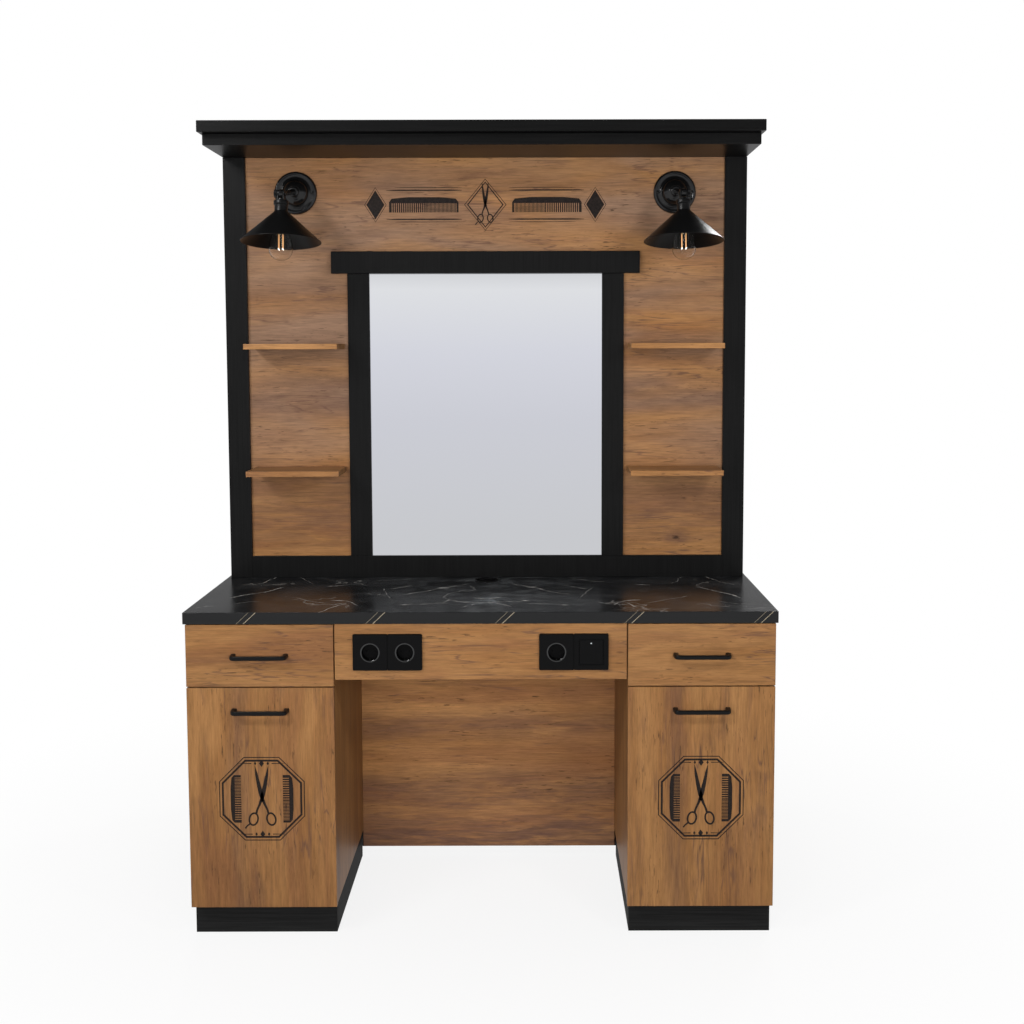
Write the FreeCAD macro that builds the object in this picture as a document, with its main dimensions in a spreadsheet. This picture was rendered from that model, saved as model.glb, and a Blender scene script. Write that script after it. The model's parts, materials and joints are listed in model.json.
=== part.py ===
# A double-sided salon station: two back-to-back dressing desks with a mirror tower between them.
# The origin is on the floor at the middle of the footprint, +Z is up and the front side faces -Y.
# The rear side is the front side turned half a turn about Z.
import FreeCAD, Part
import os
import Sketcher

# Driving dimensions in millimetres.
DIMENSIONS = {
    # desks
    "worktop_width": 1400.0,
    "worktop_height": 795.0,
    "worktop_thickness": 28.0,
    "worktop_edge": 1.5,
    "desk_depth": 500.0,
    "spine_gap": 65.0,
    "board": 18.0,
    "board_edge": 1.0,
    "back_board": 8.0,
    "side_overhang": 5.0,
    "front_overhang": 3.0,
    "pedestal_width": 347.0,
    "front_lap": 1.0,
    "reveal": 3.0,
    "front_gap": 2.0,
    "rail_width": 80.0,
    "plinth_height": 80.0,
    "plinth_setback": 40.0,
    "plinth_inset": 5.0,
    "apron_height": 134.0,
    "knee_panel_lift": 34.0,
    # drawers and doors
    "drawer_front_height": 148.0,
    "drawer_depth": 400.0,
    "drawer_height": 100.0,
    "drawer_wall": 12.0,
    "drawer_bottom": 8.0,
    "drawer_lift": 10.0,
    "runner_space": 12.5,
    "runner_sheet": 1.5,
    "runner_height": 34.0,
    "runner_step": 4.0,
    "runner_play": 0.5,
    "handle_length": 136.0,
    "handle_reach": 30.0,
    "handle_height": 11.0,
    "handle_bar": 8.0,
    "handle_leg": 12.0,
    "handle_edge": 2.0,
    "door_handle_drop": 54.0,
    "hinge_inset": 100.0,
    "cup_radius": 17.5,
    "cup_edge_distance": 22.5,
    "cup_depth": 11.0,
    "cup_flange": 1.0,
    "cup_flange_width": 2.5,
    "cup_wall": 2.0,
    "cup_clearance": 0.3,
    "hinge_arm_length": 76.0,
    "hinge_arm_width": 12.0,
    "hinge_arm_height": 16.0,
    "hinge_plate": 4.0,
    "hinge_plate_height": 48.0,
    "hinge_plate_length": 40.0,
    "hinge_arm_gap": 3.0,
    "hinge_link_width": 8.0,
    "hinge_link_height": 10.0,
    # tower
    "tower_inset": 9.0,
    "tower_height": 1118.0,
    "tower_thickness": 165.0,
    "strip_width": 58.0,
    "strip_thickness": 10.0,
    "rib_shift": 2.0,
    "mirror_width": 618.0,
    "mirror_height": 756.0,
    "mirror_glass": 4.0,
    "lintel_overhang": 41.5,
    "lintel_thickness": 18.0,
    "shelf_inner_gap": 10.0,
    "shelf_outer_gap": 16.0,
    "shelf_depth": 140.0,
    "shelf_thickness": 14.0,
    "lower_shelf_rise": 300.0,
    "upper_shelf_rise": 628.5,
    "cornice_board": 28.0,
    "soffit_projection": 205.0,
    "cap_front_overhang": 28.0,
    "cap_side_overhang": 7.0,
    # cable grommets
    "grommet_tower_gap": 46.0,
    "grommet_flange_radius": 30.0,
    "grommet_hole_radius": 27.0,
    "grommet_bore_radius": 24.0,
    "grommet_flange": 2.0,
    "grommet_depth": 20.0,
    "grommet_ledge": 1.8,
    "grommet_lid": 2.0,
    "grommet_lid_drop": 1.0,
    "grommet_slot_width": 22.0,
    "grommet_slot_length": 14.0,
    "fit_clearance": 0.3,
    # outlets and switches
    "module_width": 81.5,
    "module_height": 86.0,
    "module_face": 9.0,
    "module_edge": 1.5,
    "module_end_gap": 125.0,
    "module_box_radius": 28.0,
    "module_box_depth": 30.0,
    "module_hole_radius": 30.0,
    "socket_radius": 19.5,
    "socket_depth": 17.5,
    "clip_width": 5.0,
    "clip_rise": 2.0,
    "clip_root": 1.0,
    "clip_setback": 3.0,
    "contact_radius": 2.6,
    "contact_depth": 8.0,
    "contact_spacing": 19.0,
    "rocker_width": 56.0,
    "rocker_height": 59.0,
    "rocker_thickness": 6.0,
    "rocker_play": 0.8,
    "rocker_lift": 5.0,
    "rocker_tilt": 4.0,
    "rocker_well": 7.6,
    # wall lamps
    "lamp_shift": 1.0,
    "lamp_drop": 92.0,
    "plate_radius": 56.0,
    "plate_edge": 4.0,
    "plate_face": 8.0,
    "plate_bevel": 3.0,
    "dome_radius": 34.0,
    "dome_shoulder": 14.0,
    "dome_top_radius": 16.0,
    "dome_height": 30.0,
    "plate_screw_offset": 45.0,
    "plate_screw_radius": 4.5,
    "plate_screw_head": 2.5,
    "collar_radius": 13.0,
    "collar_length": 8.0,
    "arm_radius": 7.0,
    "arm_reach": 198.0,
    "arm_drop": 25.0,
    "eye_radius": 10.0,
    "eye_width": 10.0,
    "eye_tongue": 12.0,
    "pin_radius": 2.5,
    "pin_clearance": 0.3,
    "nut_radius": 9.5,
    "nut_length": 8.0,
    "pin_head_radius": 4.5,
    "pin_head": 2.5,
    "cheek_thickness": 4.0,
    "cheek_depth": 16.0,
    "neck_radius": 9.0,
    "neck_top": 12.0,
    "holder_top": 17.0,
    "holder_radius": 16.5,
    "holder_ring_radius": 18.8,
    "holder_ring_bottom": 28.0,
    "holder_bottom": 46.0,
    "shade_top": 48.0,
    "shade_top_radius": 20.0,
    "shade_radius": 100.0,
    "shade_bottom": 121.5,
    "shade_wall": 1.8,
    "lampholder_radius": 16.0,
    "lampholder_bore": 13.6,
    "lampholder_top": 24.0,
    "lampholder_bottom": 62.0,
    "shade_tilt": 7.0,
    "bulb_radius": 30.0,
    "bulb_bottom": 168.0,
    "bulb_shoulder": 24.0,
    "bulb_neck_radius": 14.2,
    "bulb_neck": 72.0,
    "bulb_cap_radius": 13.2,
    "bulb_cap_top": 42.0,
    "bulb_wall": 1.0,
}

FACES = ((-1, "front"), (1, "rear"))
SIDES = ((-1, "left"), (1, "right"))

doc = FreeCAD.newDocument("SalonStation")
sheet = doc.addObject("Spreadsheet::Sheet", "dims")
for row, (alias, value) in enumerate(DIMENSIONS.items(), start=1):
    sheet.set(f"A{row}", alias)
    sheet.set(f"B{row}", str(value))
    sheet.setAlias(f"B{row}", alias)
doc.recompute()

# Places that several pieces share. "Inward" runs from a worktop's front edge towards the middle.
HALF_DEPTH = "(dims.desk_depth + dims.spine_gap / 2)"
TOWER_FACE = f"({HALF_DEPTH} - dims.tower_thickness / 2)"
PEDESTAL_OUT = "(dims.worktop_width / 2 - dims.side_overhang)"
PEDESTAL_IN = f"({PEDESTAL_OUT} - dims.pedestal_width)"
FRONT_IN = f"({PEDESTAL_IN} - dims.front_lap)"
FRONT_FACE = "dims.front_overhang"
FRONT_BACK = "(dims.front_overhang + dims.board)"
CARCASS_FRONT = f"({FRONT_BACK} + dims.front_gap)"
UNDER_TOP = "(dims.worktop_height - dims.worktop_thickness)"
DRAWER_TOP = f"({UNDER_TOP} - dims.front_gap)"
DRAWER_LOW = f"({DRAWER_TOP} - dims.drawer_front_height)"
DOOR_TOP = f"({DRAWER_LOW} - dims.reveal)"
RAIL_TOP = f"({DRAWER_LOW} - dims.reveal / 2 + dims.board / 2)"
APRON_MIDDLE = f"({UNDER_TOP} - dims.apron_height / 2)"
TOWER_TOP = "(dims.worktop_height + dims.tower_height)"
TOWER_SIDE = "(dims.worktop_width / 2 - dims.tower_inset)"
STRIP_IN = f"({TOWER_SIDE} - dims.strip_width)"
PANEL_FACE = f"({TOWER_FACE} + dims.strip_thickness)"
PANEL_BACK = f"({PANEL_FACE} + dims.board)"
RAIL_STRIP_TOP = "(dims.worktop_height + dims.strip_width)"
MIRROR_SIDE = "dims.mirror_width / 2"
MIRROR_TOP = f"({RAIL_STRIP_TOP} + dims.mirror_height)"
MIRROR_FRAME = f"({MIRROR_SIDE} + dims.strip_width)"
SOFFIT_FRONT = f"({TOWER_FACE} - dims.soffit_projection)"
GROMMET_IN = f"({TOWER_FACE} - dims.grommet_tower_gap)"
MODULE_FACE = f"({FRONT_FACE} - dims.module_face)"
LAMP_OUT = f"(({MIRROR_FRAME} + {STRIP_IN}) / 2 + dims.lamp_shift)"
LAMP_HEIGHT = f"({TOWER_TOP} - dims.lamp_drop)"
KNUCKLE_INWARD = f"({PANEL_FACE} - dims.arm_reach)"
KNUCKLE_HEIGHT = f"({LAMP_HEIGHT} - dims.arm_drop)"

X_AXIS = FreeCAD.Vector(1, 0, 0)
Y_AXIS = FreeCAD.Vector(0, 1, 0)
Z_AXIS = FreeCAD.Vector(0, 0, 1)


def value(expression):
    """The number that an expression on the sheet gives now."""
    return float(doc.dims.evalExpression(expression.replace("dims.", "")))


def place(item, x, y, z):
    """Bind an object's position to three expressions."""
    for axis, expression in zip("xyz", (x, y, z)):
        item.setExpression(f"Placement.Base.{axis}", str(expression))
    return item


def y_of(inward, face):
    """The Y of a point that lies `inward` from the worktop edge of the front or rear face."""
    return f"{face} * ({HALF_DEPTH} - ({inward}))"


def low_corner(x, inward, z, side, face):
    """The lowest corner of a box whose spans are given for the right half and one face."""
    low_x = x[0] if side > 0 else f"-({x[1]})"
    low_y = y_of(inward[0] if face < 0 else inward[1], face)
    return low_x, low_y, z[0]


def span(pair):
    return f"({pair[1]}) - ({pair[0]})"


def board(label, x, inward, z, side=1, face=-1, edge="dims.board_edge"):
    """A board as a body: a box with every edge eased by a small radius."""
    body = doc.addObject("PartDesign::Body", "Board")
    body.Label = label
    box = body.newObject("PartDesign::AdditiveBox", "Blank")
    box.setExpression("Length", span(x))
    box.setExpression("Width", span(inward))
    box.setExpression("Height", span(z))
    eased = body.newObject("PartDesign::Fillet", "Eased")
    eased.Base = (box, [""])
    eased.UseAllEdges = True
    eased.setExpression("Radius", edge)
    body.Tip = eased
    return place(body, *low_corner(x, inward, z, side, face))


def block(label, x, inward, z, side=1, face=-1):
    """A square-edged box, for boards and sheet metal that stay out of sight."""
    box = doc.addObject("Part::Box", "Block")
    box.Label = label
    box.setExpression("Length", span(x))
    box.setExpression("Width", span(inward))
    box.setExpression("Height", span(z))
    return place(box, *low_corner(x, inward, z, side, face))


def bore(body, radius, length, x, y, z, turn=None, cut=True):
    """Cut (or add) a cylinder inside a body, at a place in the body's own frame."""
    kind = "PartDesign::SubtractiveCylinder" if cut else "PartDesign::AdditiveCylinder"
    doc.recompute()
    before = body.Tip.Shape.Volume
    cylinder = body.newObject(kind, "Bore" if cut else "Boss")
    cylinder.setExpression("Radius", radius)
    cylinder.setExpression("Height", length)
    if turn:
        cylinder.Placement = FreeCAD.Placement(FreeCAD.Vector(), FreeCAD.Rotation(*turn))
    place(cylinder, x, y, z)
    doc.recompute()
    if (body.Tip.Shape.Volume < before) != cut:
        raise RuntimeError(f"a cylinder in {body.Label} changes nothing")
    return cylinder


def polygon(body, plane, points):
    """A closed sketch whose corners are held by expressions."""
    sketch = body.newObject("Sketcher::SketchObject", "Outline")
    role = [item for item in body.Origin.OriginFeatures if item.Role == plane][0]
    sketch.AttachmentSupport = [(role, "")]
    sketch.MapMode = "FlatFace"
    corners = [FreeCAD.Vector(value(u), value(v), 0) for u, v in points]
    for index, corner in enumerate(corners):
        following = corners[(index + 1) % len(corners)]
        sketch.addGeometry(Part.LineSegment(corner, following), False)
    for index in range(len(points)):
        following = (index + 1) % len(points)
        sketch.addConstraint(Sketcher.Constraint("Coincident", index, 2, following, 1))
    for index, (point, corner) in enumerate(zip(points, corners)):
        for kind, expression, number in (("DistanceX", point[0], corner.x),
                                         ("DistanceY", point[1], corner.y)):
            held = sketch.addConstraint(Sketcher.Constraint(kind, -1, 1, index, 1, number))
            sketch.setExpression(f"Constraints[{held}]", expression)
    return sketch


def turned(label, points):
    """A body turned about its own Z from (radius, height) corners."""
    body = doc.addObject("PartDesign::Body", "Turned")
    body.Label = label
    sketch = polygon(body, "XZ_Plane", points)
    revolution = body.newObject("PartDesign::Revolution", "Turning")
    revolution.Profile = sketch
    revolution.ReferenceAxis = (sketch, ["V_Axis"])
    revolution.Angle = 360
    body.Tip = revolution
    doc.recompute()
    return body


def rod(label, radius, length, turn, x, y, z):
    """A plain cylinder as a Part primitive, turned from its own Z."""
    cylinder = doc.addObject("Part::Cylinder", "Rod")
    cylinder.Label = label
    cylinder.setExpression("Radius", radius)
    cylinder.setExpression("Height", length)
    cylinder.Placement = FreeCAD.Placement(FreeCAD.Vector(), FreeCAD.Rotation(*turn))
    return place(cylinder, x, y, z)


def fused(label, parts):
    union = doc.addObject("Part::MultiFuse", "Union")
    union.Label = label
    union.Shapes = parts
    union.Refine = True
    return union


NODES = []


def node(name, *pieces):
    """Name one exported sub-part: a single piece, or like pieces as a group of solids."""
    if len(pieces) == 1:
        item = pieces[0]
        item.Label = name
    else:
        item = doc.addObject("Part::Compound", "Group")
        item.Label = name
        item.Links = list(pieces)
    NODES.append(item)
    return item


# Worktops: one laminated board to each side, meeting on the middle line under the tower.
for face, face_name in FACES:
    top = board(f"worktop_{face_name}", ("-dims.worktop_width / 2", "dims.worktop_width / 2"),
                ("0", HALF_DEPTH), (UNDER_TOP, "dims.worktop_height"), face=face, edge="dims.worktop_edge")
    hole_y = GROMMET_IN if face < 0 else f"{HALF_DEPTH} - {GROMMET_IN}"
    bore(top, "dims.grommet_hole_radius", "dims.worktop_thickness", "dims.worktop_width / 2", hole_y, "0")
    node(f"worktop_{face_name}", top)

# Pedestals: sides, bottoms, rails and thin backs on a set-back plinth.
sides, decks, backs, plinths, runners, hinge_mounts = [], [], [], [], [], []
INNER_SIDE = (PEDESTAL_IN, f"{PEDESTAL_IN} + dims.board")
OUTER_SIDE = (f"{PEDESTAL_OUT} - dims.board", PEDESTAL_OUT)
BETWEEN = (INNER_SIDE[1], OUTER_SIDE[0])
SIDE_DEPTH = (CARCASS_FRONT, "dims.desk_depth")
BACK_DEPTH = ("dims.desk_depth - dims.back_board", "dims.desk_depth")
RAIL_DEPTH = (CARCASS_FRONT, f"{CARCASS_FRONT} + dims.rail_width")
REAR_RAIL_DEPTH = (f"{BACK_DEPTH[0]} - dims.rail_width", BACK_DEPTH[0])
PLINTH_IN = f"({PEDESTAL_IN} + dims.plinth_inset)"
PLINTH_FRONT = (f"{FRONT_FACE} + dims.plinth_setback", f"{FRONT_FACE} + dims.plinth_setback + dims.board")
PLINTH_BACK = ("dims.desk_depth - dims.board", "dims.desk_depth")
RUNNER_LOW = f"({RAIL_TOP} + dims.drawer_lift)"
for face, face_name in FACES:
    for side, side_name in SIDES:
        where = f"{face_name}_{side_name}"
        height = ("dims.plinth_height", UNDER_TOP)
        sides.append(board(f"inner_side_{where}", INNER_SIDE, SIDE_DEPTH, height, side, face))
        sides.append(board(f"outer_side_{where}", OUTER_SIDE, SIDE_DEPTH, height, side, face))
        deck_depth = (CARCASS_FRONT, BACK_DEPTH[0])
        decks.append(block(f"bottom_{where}", BETWEEN, deck_depth,
                           ("dims.plinth_height", "dims.plinth_height + dims.board"), side, face))
        decks.append(block(f"middle_rail_{where}", BETWEEN, RAIL_DEPTH,
                           (f"{RAIL_TOP} - dims.board", RAIL_TOP), side, face))
        top_rail = (f"{UNDER_TOP} - dims.board", UNDER_TOP)
        decks.append(block(f"top_rail_{where}", BETWEEN, RAIL_DEPTH, top_rail, side, face))
        decks.append(block(f"rear_rail_{where}", BETWEEN, REAR_RAIL_DEPTH, top_rail, side, face))
        backs.append(block(f"back_{where}", BETWEEN, BACK_DEPTH, height, side, face))
        plinth_height = ("0", "dims.plinth_height")
        plinth_side_depth = (PLINTH_FRONT[1], PLINTH_BACK[0])
        plinths.append(board(f"plinth_front_{where}", (PLINTH_IN, PEDESTAL_OUT), PLINTH_FRONT,
                             plinth_height, side, face))
        plinths.append(board(f"plinth_back_{where}", (PLINTH_IN, PEDESTAL_OUT), PLINTH_BACK,
                             plinth_height, side, face))
        plinths.append(board(f"plinth_inner_{where}", (PLINTH_IN, f"{PLINTH_IN} + dims.board"),
                             plinth_side_depth, plinth_height, side, face))
        plinths.append(board(f"plinth_outer_{where}", OUTER_SIDE, plinth_side_depth,
                             plinth_height, side, face))
        # The cabinet half of each drawer runner is a channel of folded sheet, open to the drawer.
        runner_depth = (CARCASS_FRONT, f"{FRONT_BACK} + dims.drawer_depth")
        for panel, direction in ((INNER_SIDE[1], 1), (OUTER_SIDE[0], -1)):
            far = f"{panel} + {direction} * (dims.runner_space - dims.runner_sheet - dims.runner_play)"
            web_far = f"{panel} + {direction} * dims.runner_sheet"
            web = (panel, web_far) if direction > 0 else (web_far, panel)
            lip = (panel, far) if direction > 0 else (far, panel)
            runner_top = f"({RUNNER_LOW} + dims.runner_height)"
            pieces = [
                block("runner_web", web, runner_depth, (RUNNER_LOW, runner_top), side, face),
                block("runner_foot", lip, runner_depth,
                      (RUNNER_LOW, f"{RUNNER_LOW} + dims.runner_sheet"), side, face),
                block("runner_head", lip, runner_depth,
                      (f"{runner_top} - dims.runner_sheet", runner_top), side, face),
            ]
            runners.append(fused(f"cabinet_runner_{where}", pieces))
        # Hinge mounting plates and arms on the outer side panel, one pair for each door.
        door_low, door_high = "dims.plinth_height", DOOR_TOP
        for hinge_height in (f"({door_low} + dims.hinge_inset)", f"({door_high} - dims.hinge_inset)"):
            arm_front = f"({FRONT_BACK} + dims.hinge_arm_gap)"
            plate_front = f"({arm_front} + dims.hinge_arm_length - dims.hinge_plate_length)"
            arm_back = f"({arm_front} + dims.hinge_arm_length)"
            plate_x = (f"{OUTER_SIDE[0]} - dims.hinge_plate", OUTER_SIDE[0])
            arm_x = (f"{OUTER_SIDE[0]} - dims.hinge_plate - dims.hinge_arm_width", plate_x[0])
            hinge_mounts.append(fused(f"hinge_mount_{where}", [
                block("hinge_plate", plate_x, (plate_front, arm_back),
                      (f"{hinge_height} - dims.hinge_plate_height / 2",
                       f"{hinge_height} + dims.hinge_plate_height / 2"), side, face),
                block("hinge_arm", arm_x, (arm_front, arm_back),
                      (f"{hinge_height} - dims.hinge_arm_height / 2",
                       f"{hinge_height} + dims.hinge_arm_height / 2"), side, face),
            ]))
node("pedestal_sides", *sides)
node("pedestal_decks", *decks)
node("pedestal_backs", *backs)
node("plinth_boards", *plinths)
node("cabinet_runners", *runners)
node("hinge_mounts", *hinge_mounts)

# Aprons over the knee spaces carry the outlets; knee panels close the desks at the back.
aprons, knee_panels = [], []
APRON_HALF = f"({FRONT_IN} - dims.reveal)"
MODULE_XS = [f"{sign} * ({APRON_HALF} - dims.module_end_gap {step} dims.module_width / 2)"
             for sign, step in ((-1, "+"), (-1, "-"), (1, "-"), (1, "+"))]
for face, face_name in FACES:
    apron = board(f"apron_{face_name}", (f"-{APRON_HALF}", APRON_HALF), (FRONT_FACE, FRONT_BACK),
                  (f"{UNDER_TOP} - dims.apron_height", UNDER_TOP), face=face)
    for module_x in MODULE_XS:
        bore(apron, "dims.module_hole_radius", "dims.board", f"{APRON_HALF} + {module_x}", "dims.board",
             "dims.apron_height / 2", turn=(X_AXIS, 90))
    aprons.append(apron)
    knee_panels.append(board(f"knee_panel_{face_name}", (f"-{PEDESTAL_IN}", PEDESTAL_IN), PLINTH_BACK,
                             ("dims.knee_panel_lift", UNDER_TOP), face=face))
node("aprons", *aprons)
node("knee_panels", *knee_panels)

# The tower core: two side boards, ribs and rails between the panels, and the fillers between desks.
core = []
RIB_DEPTH = (PANEL_BACK, f"2 * {HALF_DEPTH} - {PANEL_BACK}")
TOWER_FULL_DEPTH = (PANEL_FACE, f"2 * {HALF_DEPTH} - {PANEL_FACE}")
TOWER_SPAN = ("dims.worktop_height", TOWER_TOP)
RIB_MIDDLE = f"({MIRROR_SIDE} + dims.strip_width / 2 + dims.rib_shift)"
RIB = (f"{RIB_MIDDLE} - dims.board / 2", f"{RIB_MIDDLE} + dims.board / 2")
for side, side_name in SIDES:
    core.append(board(f"tower_side_{side_name}", (f"{TOWER_SIDE} - dims.board", TOWER_SIDE),
                      TOWER_FULL_DEPTH, TOWER_SPAN, side))
    core.append(block(f"tower_rib_{side_name}", RIB, RIB_DEPTH, TOWER_SPAN, side))
    core.append(board(f"spine_filler_{side_name}", OUTER_SIDE,
                      ("dims.desk_depth", "dims.desk_depth + dims.spine_gap"), ("0", UNDER_TOP), side))
    bay = (RIB[1], f"{TOWER_SIDE} - dims.board")
    core.append(block(f"tower_sill_{side_name}", bay, RIB_DEPTH,
                      ("dims.worktop_height", "dims.worktop_height + dims.board"), side))
    core.append(block(f"tower_header_{side_name}", bay, RIB_DEPTH,
                      (f"{TOWER_TOP} - dims.board", TOWER_TOP), side))
node("tower_core", *core)

# Wood-faced panels, one to each side of the tower, with the black face strips mounted on them.
panels, strips, mirrors, mirror_frames, shelves = [], [], [], [], []
PANEL_HALF = f"({TOWER_SIDE} - dims.board)"
for face, face_name in FACES:
    panels.append(board(f"tower_panel_{face_name}", (f"-{PANEL_HALF}", PANEL_HALF), (PANEL_FACE, PANEL_BACK),
                        TOWER_SPAN, face=face))
    strip_depth = (TOWER_FACE, PANEL_FACE)
    strips.append(board(f"bottom_strip_{face_name}", (f"-{STRIP_IN}", STRIP_IN), strip_depth,
                        ("dims.worktop_height", RAIL_STRIP_TOP), face=face))
    mirrors.append(block(f"mirror_{face_name}", (f"-{MIRROR_SIDE}", MIRROR_SIDE),
                         (f"{PANEL_FACE} - dims.mirror_glass", PANEL_FACE), (RAIL_STRIP_TOP, MIRROR_TOP),
                         face=face))
    lintel_half = f"({MIRROR_FRAME} + dims.lintel_overhang)"
    mirror_frames.append(board(f"lintel_{face_name}", (f"-{lintel_half}", lintel_half),
                               (f"{PANEL_FACE} - dims.lintel_thickness", PANEL_FACE),
                               (MIRROR_TOP, f"{MIRROR_TOP} + dims.strip_width"), face=face))
    for side, side_name in SIDES:
        strips.append(board(f"stile_{face_name}_{side_name}", (STRIP_IN, TOWER_SIDE), strip_depth,
                            TOWER_SPAN, side, face))
        mirror_frames.append(board(f"mirror_stile_{face_name}_{side_name}", (MIRROR_SIDE, MIRROR_FRAME),
                                   strip_depth, (RAIL_STRIP_TOP, MIRROR_TOP), side, face))
        for rise in ("dims.lower_shelf_rise", "dims.upper_shelf_rise"):
            shelf_x = (f"{MIRROR_FRAME} + dims.shelf_inner_gap", f"{STRIP_IN} - dims.shelf_outer_gap")
            shelf_top = f"(dims.worktop_height + {rise})"
            shelves.append(board(f"shelf_{face_name}_{side_name}", shelf_x,
                                 (f"{PANEL_FACE} - dims.shelf_depth", PANEL_FACE),
                                 (f"{shelf_top} - dims.shelf_thickness", shelf_top), side, face))
node("tower_panels", *panels)
node("face_strips", *strips)
node("mirrors", *mirrors)
node("mirror_frames", *mirror_frames)
node("wall_shelves", *shelves)

# The stepped cornice: a soffit board under a wider cap board.
CORNICE_MIDDLE = f"({TOWER_TOP} + dims.cornice_board)"
node("cornice_soffit", board("cornice_soffit", (f"-{TOWER_SIDE}", TOWER_SIDE),
                             (SOFFIT_FRONT, f"2 * {HALF_DEPTH} - {SOFFIT_FRONT}"),
                             (TOWER_TOP, CORNICE_MIDDLE), edge="dims.worktop_edge"))
CAP_HALF = f"({TOWER_SIDE} + dims.cap_side_overhang)"
CAP_FRONT = f"({SOFFIT_FRONT} - dims.cap_front_overhang)"
node("cornice_cap", board("cornice_cap", (f"-{CAP_HALF}", CAP_HALF),
                          (CAP_FRONT, f"2 * {HALF_DEPTH} - {CAP_FRONT}"),
                          (CORNICE_MIDDLE, f"{CORNICE_MIDDLE} + dims.cornice_board"),
                          edge="dims.worktop_edge"))

# Cable grommets: a flanged sleeve in each worktop, and a dropped-in lid with a cable slot.
grommets = []
for face, face_name in FACES:
    sleeve_radius = "(dims.grommet_hole_radius - dims.fit_clearance)"
    ledge = "-(dims.grommet_lid_drop + dims.grommet_lid)"
    ledge_radius = "(dims.grommet_bore_radius - dims.grommet_ledge)"
    sleeve = turned(f"grommet_sleeve_{face_name}", [
        ("dims.grommet_bore_radius", "dims.grommet_flange"),
        ("dims.grommet_flange_radius", "dims.grommet_flange"),
        ("dims.grommet_flange_radius", "0"),
        (sleeve_radius, "0"),
        (sleeve_radius, "-dims.grommet_depth"),
        (ledge_radius, "-dims.grommet_depth"),
        (ledge_radius, ledge),
        ("dims.grommet_bore_radius", ledge),
    ])
    grommets.append(place(sleeve, "0", y_of(GROMMET_IN, face), "dims.worktop_height"))
    lid_radius = "(dims.grommet_bore_radius - dims.fit_clearance)"
    lid = turned(f"grommet_lid_{face_name}", [
        ("0", ledge),
        (lid_radius, ledge),
        (lid_radius, "-dims.grommet_lid_drop"),
        ("0", "-dims.grommet_lid_drop"),
    ])
    slot = lid.newObject("PartDesign::SubtractiveBox", "CableSlot")
    slot.setExpression("Length", "dims.grommet_slot_width")
    slot.setExpression("Width", "dims.grommet_slot_length")
    slot.setExpression("Height", "dims.grommet_lid")
    slot_y = f"{lid_radius} - dims.grommet_slot_length" if face < 0 else f"-{lid_radius}"
    place(slot, "-dims.grommet_slot_width / 2", slot_y, ledge)
    lid.Tip = slot
    grommets.append(place(lid, "0", y_of(GROMMET_IN, face), "dims.worktop_height"))
node("cable_grommets", *grommets)


def module_body(label):
    """An outlet module: an eased face plate with a round box behind it, about its own middle."""
    body = doc.addObject("PartDesign::Body", "Module")
    body.Label = label
    plate = body.newObject("PartDesign::AdditiveBox", "FacePlate")
    plate.setExpression("Length", "dims.module_width")
    plate.setExpression("Width", "dims.module_face")
    plate.setExpression("Height", "dims.module_height")
    place(plate, "-dims.module_width / 2", "-dims.module_face", "-dims.module_height / 2")
    eased = body.newObject("PartDesign::Fillet", "Eased")
    eased.Base = (plate, [""])
    eased.UseAllEdges = True
    eased.setExpression("Radius", "dims.module_edge")
    body.Tip = eased
    bore(body, "dims.module_box_radius", "dims.module_box_depth + dims.module_edge", "0",
         "-dims.module_edge", "0", turn=(X_AXIS, -90), cut=False)
    return body


def socket_module(label):
    body = module_body(label)
    bore(body, "dims.socket_radius", "dims.socket_depth", "0", "dims.socket_depth - dims.module_face",
         "0", turn=(X_AXIS, 90))
    # Earthing clips stand out of the recess wall at the top and the bottom.
    clip_height = "(dims.clip_rise + dims.clip_root)"
    tip = "(dims.socket_radius - dims.clip_rise)"
    for clip_low in (tip, f"-({tip} + {clip_height})"):
        clip = body.newObject("PartDesign::AdditiveBox", "EarthClip")
        clip.setExpression("Length", "dims.clip_width")
        clip.setExpression("Width", "dims.socket_depth - dims.clip_setback")
        clip.setExpression("Height", clip_height)
        place(clip, "-dims.clip_width / 2", "dims.clip_setback - dims.module_face", clip_low)
        body.Tip = clip
    for sign in (-1, 1):
        bore(body, "dims.contact_radius", "dims.contact_depth", f"{sign} * dims.contact_spacing / 2",
             "dims.socket_depth - dims.module_face + dims.contact_depth", "0", turn=(X_AXIS, 90))
    return body


def switch_module(label):
    body = module_body(label)
    well = body.newObject("PartDesign::SubtractiveBox", "RockerWell")
    well.setExpression("Length", "dims.rocker_width + 2 * dims.rocker_play")
    well.setExpression("Width", "dims.rocker_well")
    well.setExpression("Height", "dims.rocker_height + 2 * dims.rocker_play")
    place(well, "-dims.rocker_width / 2 - dims.rocker_play", "-dims.module_face",
          "-dims.rocker_height / 2 - dims.rocker_play")
    body.Tip = well
    return body


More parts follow.
